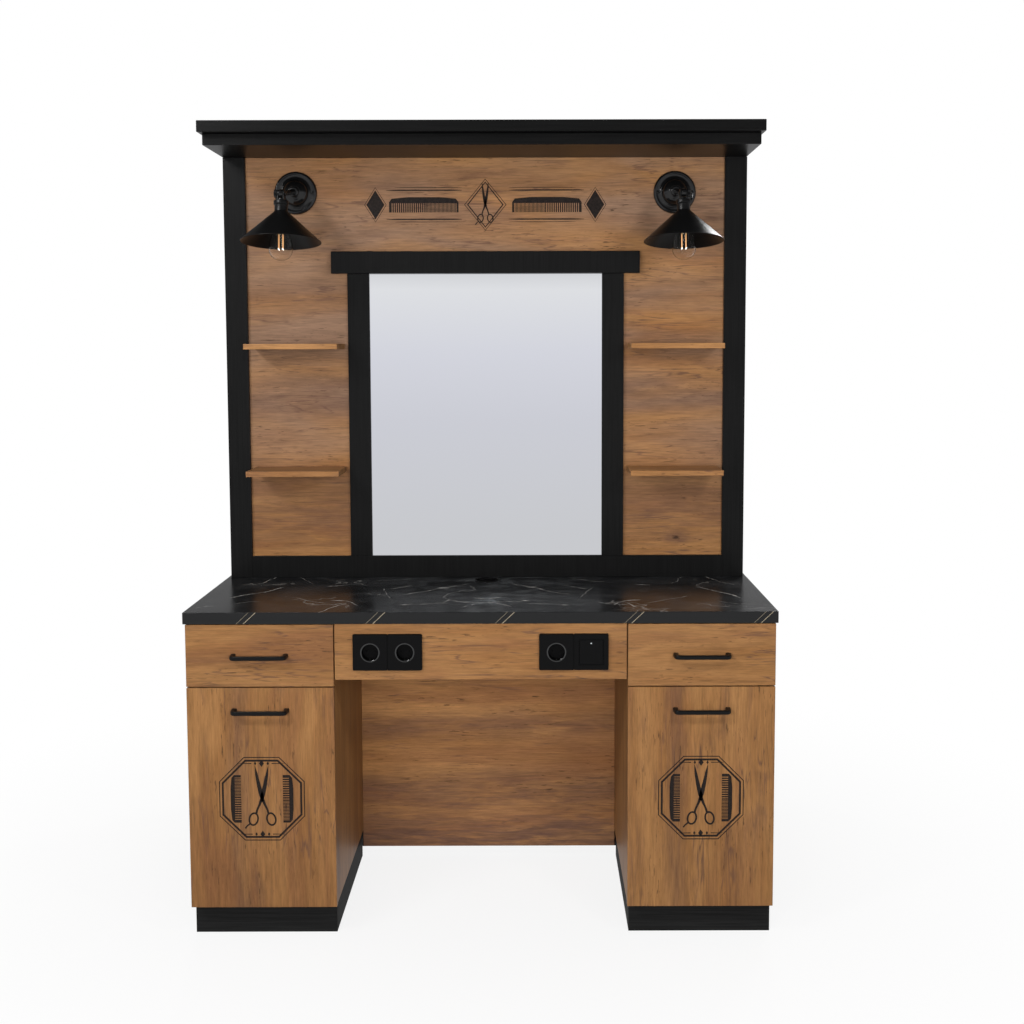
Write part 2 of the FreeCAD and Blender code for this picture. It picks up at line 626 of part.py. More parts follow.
# Outlets and switches: two outlets to one side of each apron, one outlet and a light switch to the other.
outlets = []
for face, face_name in FACES:
    turn = FreeCAD.Rotation(Z_AXIS, 0 if face < 0 else 180)
    for slot, module_x in enumerate(MODULE_XS):
        make = switch_module if slot == len(MODULE_XS) - 1 else socket_module
        module = make(f"module_{face_name}_{slot}")
        module.Placement = FreeCAD.Placement(FreeCAD.Vector(), turn)
        outlets.append(place(module, f"{-face} * {module_x}", y_of(FRONT_FACE, face), APRON_MIDDLE))
    rocker = doc.addObject("PartDesign::Body", "Rocker")
    paddle = rocker.newObject("PartDesign::AdditiveBox", "Paddle")
    paddle.setExpression("Length", "dims.rocker_width")
    paddle.setExpression("Width", "dims.rocker_thickness")
    paddle.setExpression("Height", "dims.rocker_height")
    paddle_y = "-dims.rocker_thickness" if face < 0 else "0"
    place(paddle, "-dims.rocker_width / 2", paddle_y, "-dims.rocker_height / 2")
    eased = rocker.newObject("PartDesign::Fillet", "Eased")
    eased.Base = (paddle, [""])
    eased.UseAllEdges = True
    eased.setExpression("Radius", "dims.board_edge")
    rocker.Tip = eased
    rocker.Placement = FreeCAD.Placement(FreeCAD.Vector(), FreeCAD.Rotation(X_AXIS, 1))
    rocker.setExpression("Placement.Rotation.Angle", f"{face} * dims.rocker_tilt")
    node(f"switch_rocker_{face_name}",
         place(rocker, f"{-face} * {MODULE_XS[-1]}",
               y_of(f"{MODULE_FACE} + dims.rocker_lift", face), APRON_MIDDLE))
node("outlet_modules", *outlets)


def handle(label, face):
    """A bar handle bent from one piece: a U in plan, padded to the bar's height and eased."""
    body = doc.addObject("PartDesign::Body", "Handle")
    body.Label = label
    half = "dims.handle_length / 2"
    inner = "(dims.handle_length / 2 - dims.handle_leg)"
    sketch = polygon(body, "XY_Plane", [
        (f"-{half}", "0"),
        (f"-{half}", "-dims.handle_reach"),
        (half, "-dims.handle_reach"),
        (half, "0"),
        (inner, "0"),
        (inner, "-(dims.handle_reach - dims.handle_bar)"),
        (f"-{inner}", "-(dims.handle_reach - dims.handle_bar)"),
        (f"-{inner}", "0"),
    ])
    pad = body.newObject("PartDesign::Pad", "Bar")
    pad.Profile = sketch
    pad.setExpression("Length", "dims.handle_height")
    pad.Midplane = True
    eased = body.newObject("PartDesign::Fillet", "Eased")
    eased.Base = (pad, [""])
    eased.UseAllEdges = True
    eased.setExpression("Radius", "dims.handle_edge")
    body.Tip = eased
    body.Placement = FreeCAD.Placement(FreeCAD.Vector(), FreeCAD.Rotation(Z_AXIS, 0 if face < 0 else 180))
    return body


# Drawers: a front, a box of thin boards, the drawer half of the runners and a handle.
# Doors: a panel with two hinge cups, and a handle near its top edge.
FRONT_MIDDLE = f"(({FRONT_IN} + {PEDESTAL_OUT}) / 2)"
CUP_MIDDLE = f"({PEDESTAL_OUT} - dims.cup_edge_distance)"
ARM_MIDDLE = f"({OUTER_SIDE[0]} - dims.hinge_plate - dims.hinge_arm_width / 2)"
for face, face_name in FACES:
    for side, side_name in SIDES:
        where = f"{face_name}_{side_name}"
        front_x = (FRONT_IN, PEDESTAL_OUT)
        front_depth = (FRONT_FACE, FRONT_BACK)
        node(f"drawer_front_{where}",
             board("drawer_front", front_x, front_depth, (DRAWER_LOW, DRAWER_TOP), side, face))
        box_in = f"({BETWEEN[0]} + dims.runner_space)"
        box_out = f"({BETWEEN[1]} - dims.runner_space)"
        box_back = f"({FRONT_BACK} + dims.drawer_depth)"
        box_height = (RUNNER_LOW, f"{RUNNER_LOW} + dims.drawer_height")
        wall = "dims.drawer_wall"
        inside_x = (f"{box_in} + {wall}", f"{box_out} - {wall}")
        floor_top = f"({RUNNER_LOW} + dims.drawer_bottom)"
        wall_height = (floor_top, box_height[1])
        node(f"drawer_box_{where}",
             block("box_bottom", (box_in, box_out), (FRONT_BACK, box_back), (RUNNER_LOW, floor_top),
                   side, face),
             block("box_inner_side", (box_in, inside_x[0]), (FRONT_BACK, box_back), wall_height, side, face),
             block("box_outer_side", (inside_x[1], box_out), (FRONT_BACK, box_back), wall_height, side, face),
             block("box_front", inside_x, (FRONT_BACK, f"{FRONT_BACK} + {wall}"), wall_height, side, face),
             block("box_back", inside_x, (f"{box_back} - {wall}", box_back), wall_height, side, face))
        slides = []
        slide_low = f"({RUNNER_LOW} + dims.runner_step)"
        slide_high = f"({RUNNER_LOW} + dims.runner_height - dims.runner_step)"
        for wall_face, direction in ((box_in, -1), (box_out, 1)):
            web_far = f"{wall_face} + {direction} * dims.runner_sheet"
            lip_far = (f"{wall_face} + {direction} * "
                       "(dims.runner_space - dims.runner_sheet - dims.runner_play)")
            web = (wall_face, web_far) if direction > 0 else (web_far, wall_face)
            lip = (wall_face, lip_far) if direction > 0 else (lip_far, wall_face)
            depth = (CARCASS_FRONT, box_back)
            slides.append(fused("drawer_slide", [
                block("slide_web", web, depth, (slide_low, slide_high), side, face),
                block("slide_foot", lip, depth, (slide_low, f"{slide_low} + dims.runner_sheet"), side, face),
                block("slide_head", lip, depth, (f"{slide_high} - dims.runner_sheet", slide_high),
                      side, face),
            ]))
        node(f"drawer_slides_{where}", *slides)
        drawer_handle = handle("drawer_handle", face)
        node(f"drawer_handle_{where}",
             place(drawer_handle, f"{side} * {FRONT_MIDDLE}", y_of(FRONT_FACE, face),
                   f"({DRAWER_LOW} + {DRAWER_TOP}) / 2"))

        door = board("door_panel", front_x, front_depth, ("dims.plinth_height", DOOR_TOP), side, face)
        front_width = f"({PEDESTAL_OUT} - {FRONT_IN})"
        cup_local = "dims.cup_edge_distance" if side < 0 else f"{front_width} - dims.cup_edge_distance"
        cups = []
        door_height = f"({DOOR_TOP} - dims.plinth_height)"
        for hinge_height in ("dims.hinge_inset", f"{door_height} - dims.hinge_inset"):
            bore_y = "dims.board" if face < 0 else "dims.cup_depth + dims.cup_clearance"
            bore(door, "dims.cup_radius + dims.cup_clearance", "dims.cup_depth + dims.cup_clearance",
                 cup_local, bore_y, hinge_height, turn=(X_AXIS, 90))
            flange_radius = "(dims.cup_radius + dims.cup_flange_width)"
            inner_radius = "(dims.cup_radius - dims.cup_wall)"
            cup = turned("hinge_cup", [
                ("0", "dims.cup_depth"),
                ("dims.cup_radius", "dims.cup_depth"),
                ("dims.cup_radius", "0"),
                (flange_radius, "0"),
                (flange_radius, "-dims.cup_flange"),
                (inner_radius, "-dims.cup_flange"),
                (inner_radius, "dims.cup_depth - dims.cup_wall"),
                ("0", "dims.cup_depth - dims.cup_wall"),
            ])
            # The link stands out of the cup and ends just short of the arm that carries the door.
            link = cup.newObject("PartDesign::AdditiveBox", "Link")
            link.setExpression("Length", "dims.hinge_link_width")
            link.setExpression("Width", "dims.hinge_link_height")
            link.setExpression("Height", "dims.cup_depth + dims.hinge_arm_gap - dims.fit_clearance")
            place(link, f"{side} * ({ARM_MIDDLE} - {CUP_MIDDLE}) - dims.hinge_link_width / 2",
                  "-dims.hinge_link_height / 2", "-(dims.hinge_arm_gap - dims.fit_clearance)")
            cup.Tip = link
            cup.Placement = FreeCAD.Placement(FreeCAD.Vector(), FreeCAD.Rotation(X_AXIS, -90 * face))
            cups.append(place(cup, f"{side} * {CUP_MIDDLE}",
                              y_of(FRONT_BACK, face), f"dims.plinth_height + {hinge_height}"))
        node(f"door_panel_{where}", door)
        node(f"door_hinge_cups_{where}", *cups)
        door_handle = handle("door_handle", face)
        node(f"door_handle_{where}",
             place(door_handle, f"{side} * {FRONT_MIDDLE}", y_of(FRONT_FACE, face),
                   f"{DOOR_TOP} - dims.door_handle_drop"))

# Wall lamps: a stepped round plate and a short arm, a cone shade that tilts on the arm's eye, a bulb.
brackets, screws = [], []
ARM_START = "(dims.dome_height + dims.collar_length / 2)"
ARM_RUN = f"(dims.arm_reach - {ARM_START})"
ARM_SLOPE = f"atan(dims.arm_drop / {ARM_RUN})"
ARM_LENGTH = f"(sqrt({ARM_RUN} * {ARM_RUN} + dims.arm_drop * dims.arm_drop) - dims.eye_tongue)"
CHEEK_START = "(dims.eye_width / 2 + dims.fit_clearance)"
CHEEK_END = f"({CHEEK_START} + dims.cheek_thickness)"


def bulb_form(inset):
    """The form of a round bulb hung from the knuckle: a ball, a shoulder and a cap, all set in evenly."""
    radius = f"(dims.bulb_radius - {inset})"
    waist = "(dims.bulb_bottom - dims.bulb_radius - dims.bulb_shoulder)"
    glass = doc.addObject("Part::Sphere", "BulbGlass")
    glass.setExpression("Radius", radius)
    place(glass, "0", "0", "-(dims.bulb_bottom - dims.bulb_radius)")
    shoulder = doc.addObject("Part::Cone", "BulbShoulder")
    shoulder.setExpression("Radius1", f"sqrt({radius} * {radius} - dims.bulb_shoulder * dims.bulb_shoulder)")
    shoulder.setExpression("Radius2", f"dims.bulb_neck_radius - 2 * {inset}")
    shoulder.setExpression("Height", f"{waist} - dims.bulb_neck")
    place(shoulder, "0", "0", f"-{waist}")
    cap = doc.addObject("Part::Cylinder", "BulbCap")
    cap.setExpression("Radius", f"dims.bulb_cap_radius - {inset}")
    cap.setExpression("Height", f"dims.bulb_neck - dims.bulb_cap_top - {inset}")
    place(cap, "0", "0", "-dims.bulb_neck")
    return fused("bulb_form", [glass, shoulder, cap])


for face, face_name in FACES:
    for side, side_name in SIDES:
        where = f"{face_name}_{side_name}"
        lamp_x = f"{side} * {LAMP_OUT}"
        plate = turned("wall_plate", [
            ("0", "0"),
            ("dims.plate_radius", "0"),
            ("dims.plate_radius", "dims.plate_edge"),
            ("dims.plate_radius - dims.plate_bevel", "dims.plate_face"),
            ("dims.dome_radius", "dims.plate_face"),
            ("dims.dome_radius", "dims.dome_shoulder"),
            ("dims.dome_top_radius", "dims.dome_height"),
            ("0", "dims.dome_height"),
        ])
        facing = FreeCAD.Rotation(X_AXIS, -90 * face)
        plate.Placement = FreeCAD.Placement(FreeCAD.Vector(), facing)
        brackets.append(place(plate, lamp_x, y_of(PANEL_FACE, face), LAMP_HEIGHT))
        for sign in (-1, 1):
            screws.append(rod("plate_screw", "dims.plate_screw_radius", "dims.plate_screw_head",
                              (X_AXIS, -90 * face), f"{lamp_x} + {sign} * dims.plate_screw_offset",
                              y_of(f"{PANEL_FACE} - dims.plate_face", face), LAMP_HEIGHT))
        arm_tube = rod("arm_tube", "dims.arm_radius", ARM_LENGTH, (X_AXIS, 1), lamp_x,
                       y_of(f"{PANEL_FACE} - {ARM_START}", face), LAMP_HEIGHT)
        arm_tube.setExpression("Placement.Rotation.Angle", f"{-face} * (90 deg + {ARM_SLOPE})")
        tongue = doc.addObject("Part::Box", "Tongue")
        tongue.setExpression("Length", "dims.eye_width")
        tongue.setExpression("Width", "2 * dims.arm_radius")
        tongue.setExpression("Height", "dims.eye_tongue + dims.fit_clearance")
        # The tongue runs on along the tube's slope from its end to the eye.
        tongue.Placement = FreeCAD.Placement(FreeCAD.Vector(), FreeCAD.Rotation(X_AXIS, 1))
        tongue.setExpression("Placement.Rotation.Angle", f"{face} * (90 deg - {ARM_SLOPE})")
        knuckle_y = y_of(KNUCKLE_INWARD, face)
        place(tongue, f"{lamp_x} - dims.eye_width / 2",
              f"{knuckle_y} - dims.arm_radius * sin({ARM_SLOPE})",
              f"{KNUCKLE_HEIGHT} - {face} * dims.arm_radius * cos({ARM_SLOPE})")
        across = (Y_AXIS, 90)
        brackets.append(fused(f"lamp_arm_{where}", [
            rod("arm_collar", "dims.collar_radius", "dims.collar_length", (X_AXIS, -90 * face), lamp_x,
                y_of(f"{PANEL_FACE} - dims.dome_height", face), LAMP_HEIGHT),
            arm_tube,
            tongue,
            rod("arm_eye", "dims.eye_radius", "dims.eye_width", across,
                f"{lamp_x} - dims.eye_width / 2", knuckle_y, KNUCKLE_HEIGHT),
            rod("arm_pin", "dims.pin_radius", f"2 * {CHEEK_END} + 2 * dims.pin_head", across,
                f"{lamp_x} - {CHEEK_END} - dims.pin_head", knuckle_y, KNUCKLE_HEIGHT),
            rod("arm_nut", "dims.nut_radius", "dims.nut_length", across,
                f"{lamp_x} + {CHEEK_END} + dims.fit_clearance" if side > 0 else
                f"{lamp_x} - {CHEEK_END} - dims.fit_clearance - dims.nut_length",
                knuckle_y, KNUCKLE_HEIGHT),
            rod("arm_pin_head", "dims.pin_head_radius", "dims.pin_head", across,
                f"{lamp_x} - {CHEEK_END} - dims.fit_clearance - dims.pin_head" if side > 0 else
                f"{lamp_x} + {CHEEK_END} + dims.fit_clearance",
                knuckle_y, KNUCKLE_HEIGHT),
        ]))
        shade = turned("lamp_shade", [
            ("0", "-dims.neck_top"),
            ("dims.neck_radius", "-dims.neck_top"),
            ("dims.neck_radius", "-dims.holder_top"),
            ("dims.holder_ring_radius", "-dims.holder_top"),
            ("dims.holder_ring_radius", "-dims.holder_ring_bottom"),
            ("dims.holder_radius", "-dims.holder_ring_bottom"),
            ("dims.holder_radius", "-dims.holder_bottom"),
            ("dims.shade_top_radius", "-dims.shade_top"),
            ("dims.shade_radius", "-dims.shade_bottom"),
            ("dims.shade_radius - dims.shade_wall", "-dims.shade_bottom"),
            ("dims.shade_top_radius - dims.shade_wall", "-dims.shade_top"),
            ("dims.lampholder_radius", "-dims.shade_top"),
            ("dims.lampholder_radius", "-dims.lampholder_bottom"),
            ("dims.lampholder_bore", "-dims.lampholder_bottom"),
            ("dims.lampholder_bore", "-dims.lampholder_top"),
            ("0", "-dims.lampholder_top"),
        ])
        for sign in (-1, 1):
            cheek = shade.newObject("PartDesign::AdditiveBox", "Cheek")
            cheek.setExpression("Length", "dims.cheek_thickness")
            cheek.setExpression("Width", "dims.cheek_depth")
            cheek.setExpression("Height", "dims.holder_top + dims.fit_clearance")
            place(cheek, CHEEK_START if sign > 0 else f"-{CHEEK_END}", "-dims.cheek_depth / 2",
                  "-dims.holder_top - dims.fit_clearance")
            shade.Tip = cheek
            start = CHEEK_START if sign > 0 else f"-{CHEEK_END}"
            bore(shade, "dims.eye_radius", "dims.cheek_thickness", start, "0", "0",
                 turn=(Y_AXIS, 90), cut=False)
            bore(shade, "dims.pin_radius + dims.pin_clearance", "dims.cheek_thickness", start, "0", "0",
                 turn=(Y_AXIS, 90))
        shade.Placement = FreeCAD.Placement(FreeCAD.Vector(), FreeCAD.Rotation(X_AXIS, 1))
        shade.setExpression("Placement.Rotation.Angle", f"{face} * dims.shade_tilt")
        node(f"lamp_shade_{where}", place(shade, lamp_x, knuckle_y, KNUCKLE_HEIGHT))
        bulb = doc.addObject("Part::Cut", "Bulb")
        bulb.Base = bulb_form("0 * dims.bulb_wall")
        bulb.Tool = bulb_form("dims.bulb_wall")
        bulb.Placement = FreeCAD.Placement(FreeCAD.Vector(), FreeCAD.Rotation(X_AXIS, 1))
        bulb.setExpression("Placement.Rotation.Angle", f"{face} * dims.shade_tilt")
        node(f"lamp_bulb_{where}", place(bulb, lamp_x, knuckle_y, KNUCKLE_HEIGHT))
node("lamp_brackets", *brackets)
node("lamp_plate_screws", *screws)

doc.recompute()
for item in doc.Objects:
    if "Invalid" in item.State or "Error" in item.State:
        raise RuntimeError(f"{item.Name} ({item.Label}) failed: {item.State}")
for item in NODES:
    if item.Shape.isNull() or not item.Shape.isValid() or not item.Shape.Solids:
        raise RuntimeError(f"{item.Label} has no valid solid")
os.makedirs("parts", exist_ok=True)
for item in NODES:
    item.Shape.exportStep(f"parts/{item.Label}.step")
    print(f"{item.Label}: {len(item.Shape.Solids)} solid(s), {item.Shape.Volume / 1000.0:.1f} cm3")
box = Part.makeCompound([item.Shape for item in NODES]).BoundBox
print(f"{len(NODES)} nodes; overall {box.XLength:.1f} x {box.YLength:.1f} x {box.ZLength:.1f} mm")
print("low", box.XMin, box.YMin, box.ZMin, "high", box.XMax, box.YMax, box.ZMax)
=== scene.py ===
# A double-sided salon station: two desks back to back, a mirror tower between them, shelves and lamps.
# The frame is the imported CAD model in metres: +Z up, the front side faces -Y, and the rear side is the
# front side turned half a turn about Z. The sections follow the station as it is put together.
import json
import math
from functools import partialmethod

import bmesh
import bpy
import mathutils
import numpy as np
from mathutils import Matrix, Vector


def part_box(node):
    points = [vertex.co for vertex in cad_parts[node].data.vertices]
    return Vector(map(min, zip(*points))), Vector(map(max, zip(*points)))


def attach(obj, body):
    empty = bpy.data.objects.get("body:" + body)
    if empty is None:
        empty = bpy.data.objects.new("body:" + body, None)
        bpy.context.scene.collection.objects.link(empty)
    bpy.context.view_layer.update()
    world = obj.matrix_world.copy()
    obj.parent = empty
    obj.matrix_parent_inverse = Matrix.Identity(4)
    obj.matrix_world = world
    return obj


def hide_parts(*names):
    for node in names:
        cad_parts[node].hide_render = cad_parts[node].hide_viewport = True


scene = bpy.context.scene
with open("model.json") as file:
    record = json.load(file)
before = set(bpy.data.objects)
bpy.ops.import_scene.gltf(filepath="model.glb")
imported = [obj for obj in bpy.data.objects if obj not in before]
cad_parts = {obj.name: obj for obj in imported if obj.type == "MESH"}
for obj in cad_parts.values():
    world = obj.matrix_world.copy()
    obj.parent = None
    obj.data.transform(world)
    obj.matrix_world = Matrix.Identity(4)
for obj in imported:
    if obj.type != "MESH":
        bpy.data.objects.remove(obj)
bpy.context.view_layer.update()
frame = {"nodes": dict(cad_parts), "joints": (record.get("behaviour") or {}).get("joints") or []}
nodes = frame["nodes"]
FACES = ((-1, "front"), (1, "rear"))
SIDES = ((-1, "left"), (1, "right"))
CORNERS = [(face, side, f"{face_name}_{side_name}") for face, face_name in FACES for side, side_name in SIDES]


# --- Oak boards ---
# Pedestals, drawer fronts, doors, aprons, knee panels, shelves and the tower's two big panels are 18 mm
# particle board faced with a printed rustic oak melamine: drawn-out fibres, tone clouds, smoky heart
# streaks, short dark checks and small knots. Each board has its own piece of the print. Some boards also
# carry painted light: a painted sheen that greys the top of the tower panels, painted shade in streaks low
# on the tower and knee panels, a lighter tone on the recessed knee panels and a darker one on the boards
# nearest the soft boxes.
class Signal:
    """A shader socket in ordinary arithmetic: every operation adds one Math node."""

    def __init__(self, finish, socket):
        self.finish, self.socket = finish, socket

    def combined(self, operation, *others):
        return self.finish.add("Math", {"operation": operation}, dict(enumerate((self, *others))))

    __add__ = __radd__ = partialmethod(combined, "ADD")
    __sub__ = partialmethod(combined, "SUBTRACT")
    __mul__ = __rmul__ = partialmethod(combined, "MULTIPLY")
    __truediv__ = partialmethod(combined, "DIVIDE")
    __pow__ = partialmethod(combined, "POWER")
    __abs__ = partialmethod(combined, "ABSOLUTE")

    def __rsub__(self, other):
        return self.finish.add("Math", {"operation": "SUBTRACT"}, {0: other, 1: self})

    def ramp(self, low, high):
        """0 below low, 1 above high, and a smooth step between; high may be the lower value."""
        return self.finish.add("MapRange", {"interpolation_type": "SMOOTHSTEP"},
                               {"Value": self, "From Min": low, "From Max": high})


class Finish:
    """A material on one surface shader, with the nodes that feed it."""

    def __init__(self, name, **surface):
        self.material = bpy.data.materials.new(name)
        self.material.use_nodes = True
        self.tree = self.material.node_tree
        self.surface = self.tree.nodes["Principled BSDF"]
        self.feed(**surface)
        self.place = self.add("TexCoord", out="Object")

    def add(self, kind, settings=None, inputs=None, out=0):
        """A node of one type with its settings and its sockets' values or links, as a signal."""
        node = self.tree.nodes.new("ShaderNode" + kind)
        for setting, value in (settings or {}).items():
            if setting == "stops":
                while len(node.color_ramp.elements) < len(value):
                    node.color_ramp.elements.new(0.5)
                for element, (position, colour) in zip(node.color_ramp.elements, value):
                    element.position = position
                    element.color = (*colour, 1)
            else:
                setattr(node, setting, value)
        for socket, value in (inputs or {}).items():
            if isinstance(value, Signal):
                self.tree.links.new(value.socket, node.inputs[socket])
            else:
                node.inputs[socket].default_value = value
        return Signal(self, node.outputs[out])

    def feed(self, **surface):
        """Sets or links the surface shader's sockets: base_color means the socket Base Color."""
        for name, value in surface.items():
            socket = self.surface.inputs[name.replace("_", " ").title().replace("Ior", "IOR")]
            if isinstance(value, Signal):
                self.tree.links.new(value.socket, socket)
            else:
                socket.default_value = (*value, 1) if isinstance(value, tuple) and len(value) == 3 else value
        return self

    def scaled(self, vector, scale, shift=(0, 0, 0)):
        return self.add("VectorMath", {"operation": "MULTIPLY_ADD"}, {0: vector, 1: scale, 2: shift})

    def summed(self, first, second):
        return self.add("VectorMath", {"operation": "ADD"}, {0: first, 1: second})

    def noise(self, scale, detail=2, roughness=0.5, distortion=0, shift=(0, 0, 0), place=None):
        """Noise over the place, which is multiplied first by one scale, or by one for each axis."""
        scale = scale if isinstance(scale, tuple) else (scale,) * 3
        return self.add("TexNoise", {}, {"Vector": self.scaled(place or self.place, scale, shift), "Scale": 1,
                                         "Detail": detail, "Roughness": roughness,
                                         "Distortion": distortion}, out="Fac")

    def cells(self, vector, out, feature="F1"):
        """The distance or the colour of the nearest point of a scattered set."""
        return self.add("TexVoronoi", {"feature": feature}, {"Vector": vector, "Scale": 1}, out=out)

    def blend(self, share, first, second, kind="MIX"):
        """Two colours mixed by a share from 0 to 1."""
        first, second = ((*c, 1) if isinstance(c, tuple) else c for c in (first, second))
        return self.add("Mix", {"data_type": "RGBA", "blend_type": kind},
                        {0: share, 6: first, 7: second}, out=2)

    def axes(self, vector):
        return [self.add("SeparateXYZ", {}, {0: vector}, out=axis) for axis in range(3)]

    def relief(self, height, strength, distance):
        return self.feed(normal=self.add("Bump", {}, {"Height": height, "Strength": strength,
                                                      "Distance": distance}))


def dress(finish, *names):
    """Gives CAD nodes a finish in place of their plain one."""
    for name in names:
        mesh = nodes[name].data
        mesh.materials.clear()
        mesh.materials.append(finish.material)


OAK_LIGHT = (0.408, 0.200, 0.072)
OAK_MIDDLE = (0.320, 0.148, 0.050)
OAK_RED = (0.242, 0.102, 0.042)
OAK_GREY = (0.262, 0.160, 0.106)
OAK_SMOKE_AND_SHADE = (0.132, 0.068, 0.046)
OAK_CHECK = (0.040, 0.020, 0.012)


def oak(name, grain, shift=(0, 0, 0), tone=1, grey=0.15, painted_sheen_span=None, dusk=0.5, smoke_and_painted_light=(), cell=None):
    """Oak print along one axis. A noise is drawn out by dividing the place by a length along the grain
    and a width across it; clouds, grey mist, growth lines, fibres and checks are such noises at falling
    sizes. A growth line is where such a noise crosses one half. Each streak is (height across the
    grain, half width, strength), wavering with a slow noise; the calls use streaks both for smoky print
    and for painted shade. The grey may fade in between two heights, which paints a sheen on the upper
    part of a board. With a cell size, boards that lie in different cells of that grid show different
    pieces of the print."""
    finish = Finish(name, roughness=0.46, specular_ior_level=0.26)
    place = finish.summed(finish.place, shift)
    if cell:
        board = finish.add("VectorMath", {"operation": "SNAP"}, {0: finish.place, 1: cell})
        place = finish.summed(place, finish.scaled(board, (7.3, 5.1, 3.7)))

    def drawn(length, width):
        return tuple(1 / (length if axis == grain else width) for axis in range(3))

    def streaks(length, width, detail=2, roughness=0.5, distortion=0, start=0):
        return finish.noise(drawn(length, width), detail, roughness, distortion, (start,) * 3, place)

    clouds = streaks(0.50, 0.070, 3, 0.55, 0.5)
    colour = finish.blend(clouds.ramp(0.34, 0.64), OAK_MIDDLE, OAK_LIGHT)
    colour = finish.blend(streaks(0.60, 0.085, 3, 0.6, 0.7, 4.1).ramp(0.44, 0.72) * 0.70, colour, OAK_RED)
    across = finish.axes(finish.place)[2 if grain == 0 else 0]
    mist = streaks(0.45, 0.120, 2, 0.5, 0.5, 8.3).ramp(0.18, 0.66) * grey
    # A grey that fades in with height paints a sheen on the upper part of the board.
    if painted_sheen_span:
        mist = mist * across.ramp(*painted_sheen_span)
    colour = finish.blend(mist, colour, OAK_GREY)

    shadow = streaks(0.30, 0.042, 4, 0.6, 1, 2.7).ramp(0.52, 0.76) * dusk
    waver = (streaks(0.30, 0.08, 3, 0.6) - 0.5) * 0.10
    # Streaks darken the board: smoky print on some boards, painted shade on others.
    for height, half_width, strength in smoke_and_painted_light:
        band = abs(across + waver - height).ramp(half_width, 0)
        ragged = streaks(0.16, 0.020, 4, 0.65, 0.8, height).ramp(0.18, 0.66)
        shadow = shadow.combined("MAXIMUM", band * ragged * strength)
    colour = finish.blend(shadow, colour, OAK_SMOKE_AND_SHADE)

    growth = abs(streaks(0.34, 0.022, 3, 0.5, 0.6, 6.2) - 0.5).ramp(0.022, 0)
    growth = growth * streaks(0.22, 0.07, 2, 0.5, 0, 3.3).ramp(0.46, 0.60)
    colour = finish.blend(growth * 0.70, colour, OAK_SMOKE_AND_SHADE)
    grouped = streaks(0.20, 0.045, 2, 0.5, 0, 1.9).ramp(0.44, 0.60)
    checks = streaks(0.042, 0.0040, 2, 0.55, 0.3).ramp(0.635, 0.70) * grouped
    colour = finish.blend(checks * 0.72, colour, OAK_CHECK)
    nicks = streaks(0.016, 0.0030, 1, 0.5, 0, 7.7).ramp(0.70, 0.76) * grouped
    colour = finish.blend(nicks * 0.50, colour, OAK_CHECK)

    spread = finish.scaled(place, drawn(0.34, 0.17))
    chosen = finish.axes(finish.cells(spread, "Color"))[0].ramp(0.56, 0.58)
    frayed = finish.cells(spread, "Distance") + (streaks(0.020, 0.005, 3) - 0.5) * 0.10
    colour = finish.blend(frayed.ramp(0.16, 0.04) * chosen * 0.55, colour, OAK_SMOKE_AND_SHADE)
    colour = finish.blend(frayed.ramp(0.046, 0.020) * chosen * 0.90, colour, OAK_CHECK)

    fibres = streaks(0.050, 0.0032, 3, 0.65)
    pores = streaks(0.018, 0.0009, 1)
    strands = streaks(0.15, 0.0085, 2, 0.6, 0.3)
    grainy = ((strands - 0.5) * (0.36 * tone) + (fibres - 0.5) * (0.95 * tone)
              + (pores - 0.5) * (0.30 * tone) + tone)
    shade = finish.add("CombineXYZ", {}, {axis: grainy for axis in range(3)})
    colour = finish.blend(1, colour, shade, "MULTIPLY")
    finish.feed(base_color=colour, roughness=(fibres - 0.5) * 0.16 + 0.46)
    return finish.relief(pores * 0.6 + fibres * 0.4 - checks * 0.5, 0.22, 0.0004)


# Tower panels: the grey that fades in above 0.88 m is a painted sheen, the pale reflection of the bright
# surround on the upper panels, and the broad streak at 0.96 m is painted shade just above the worktops.
dress(oak("oak_tower_panels", 0, (3.1, 0, 5.2), tone=0.91, grey=0.90, painted_sheen_span=(0.88, 1.30), dusk=0.42,
          smoke_and_painted_light=((1.552, 0.060, 0.36), (1.286, 0.085, 0.60), (0.960, 0.180, 0.60))),
      "tower_panels")
# Knee panels: the light tone 1.34 is painted light on these recessed panels, and the streaks, stronger
# towards the floor, are painted shade.
dress(oak("oak_knee_panels", 0, (0.6, 0, 2.9), tone=1.34, grey=0.10, dusk=0.20,
          smoke_and_painted_light=((0.376, 0.070, 0.62), (0.190, 0.095, 0.78), (0.045, 0.180, 1.00))), "knee_panels")
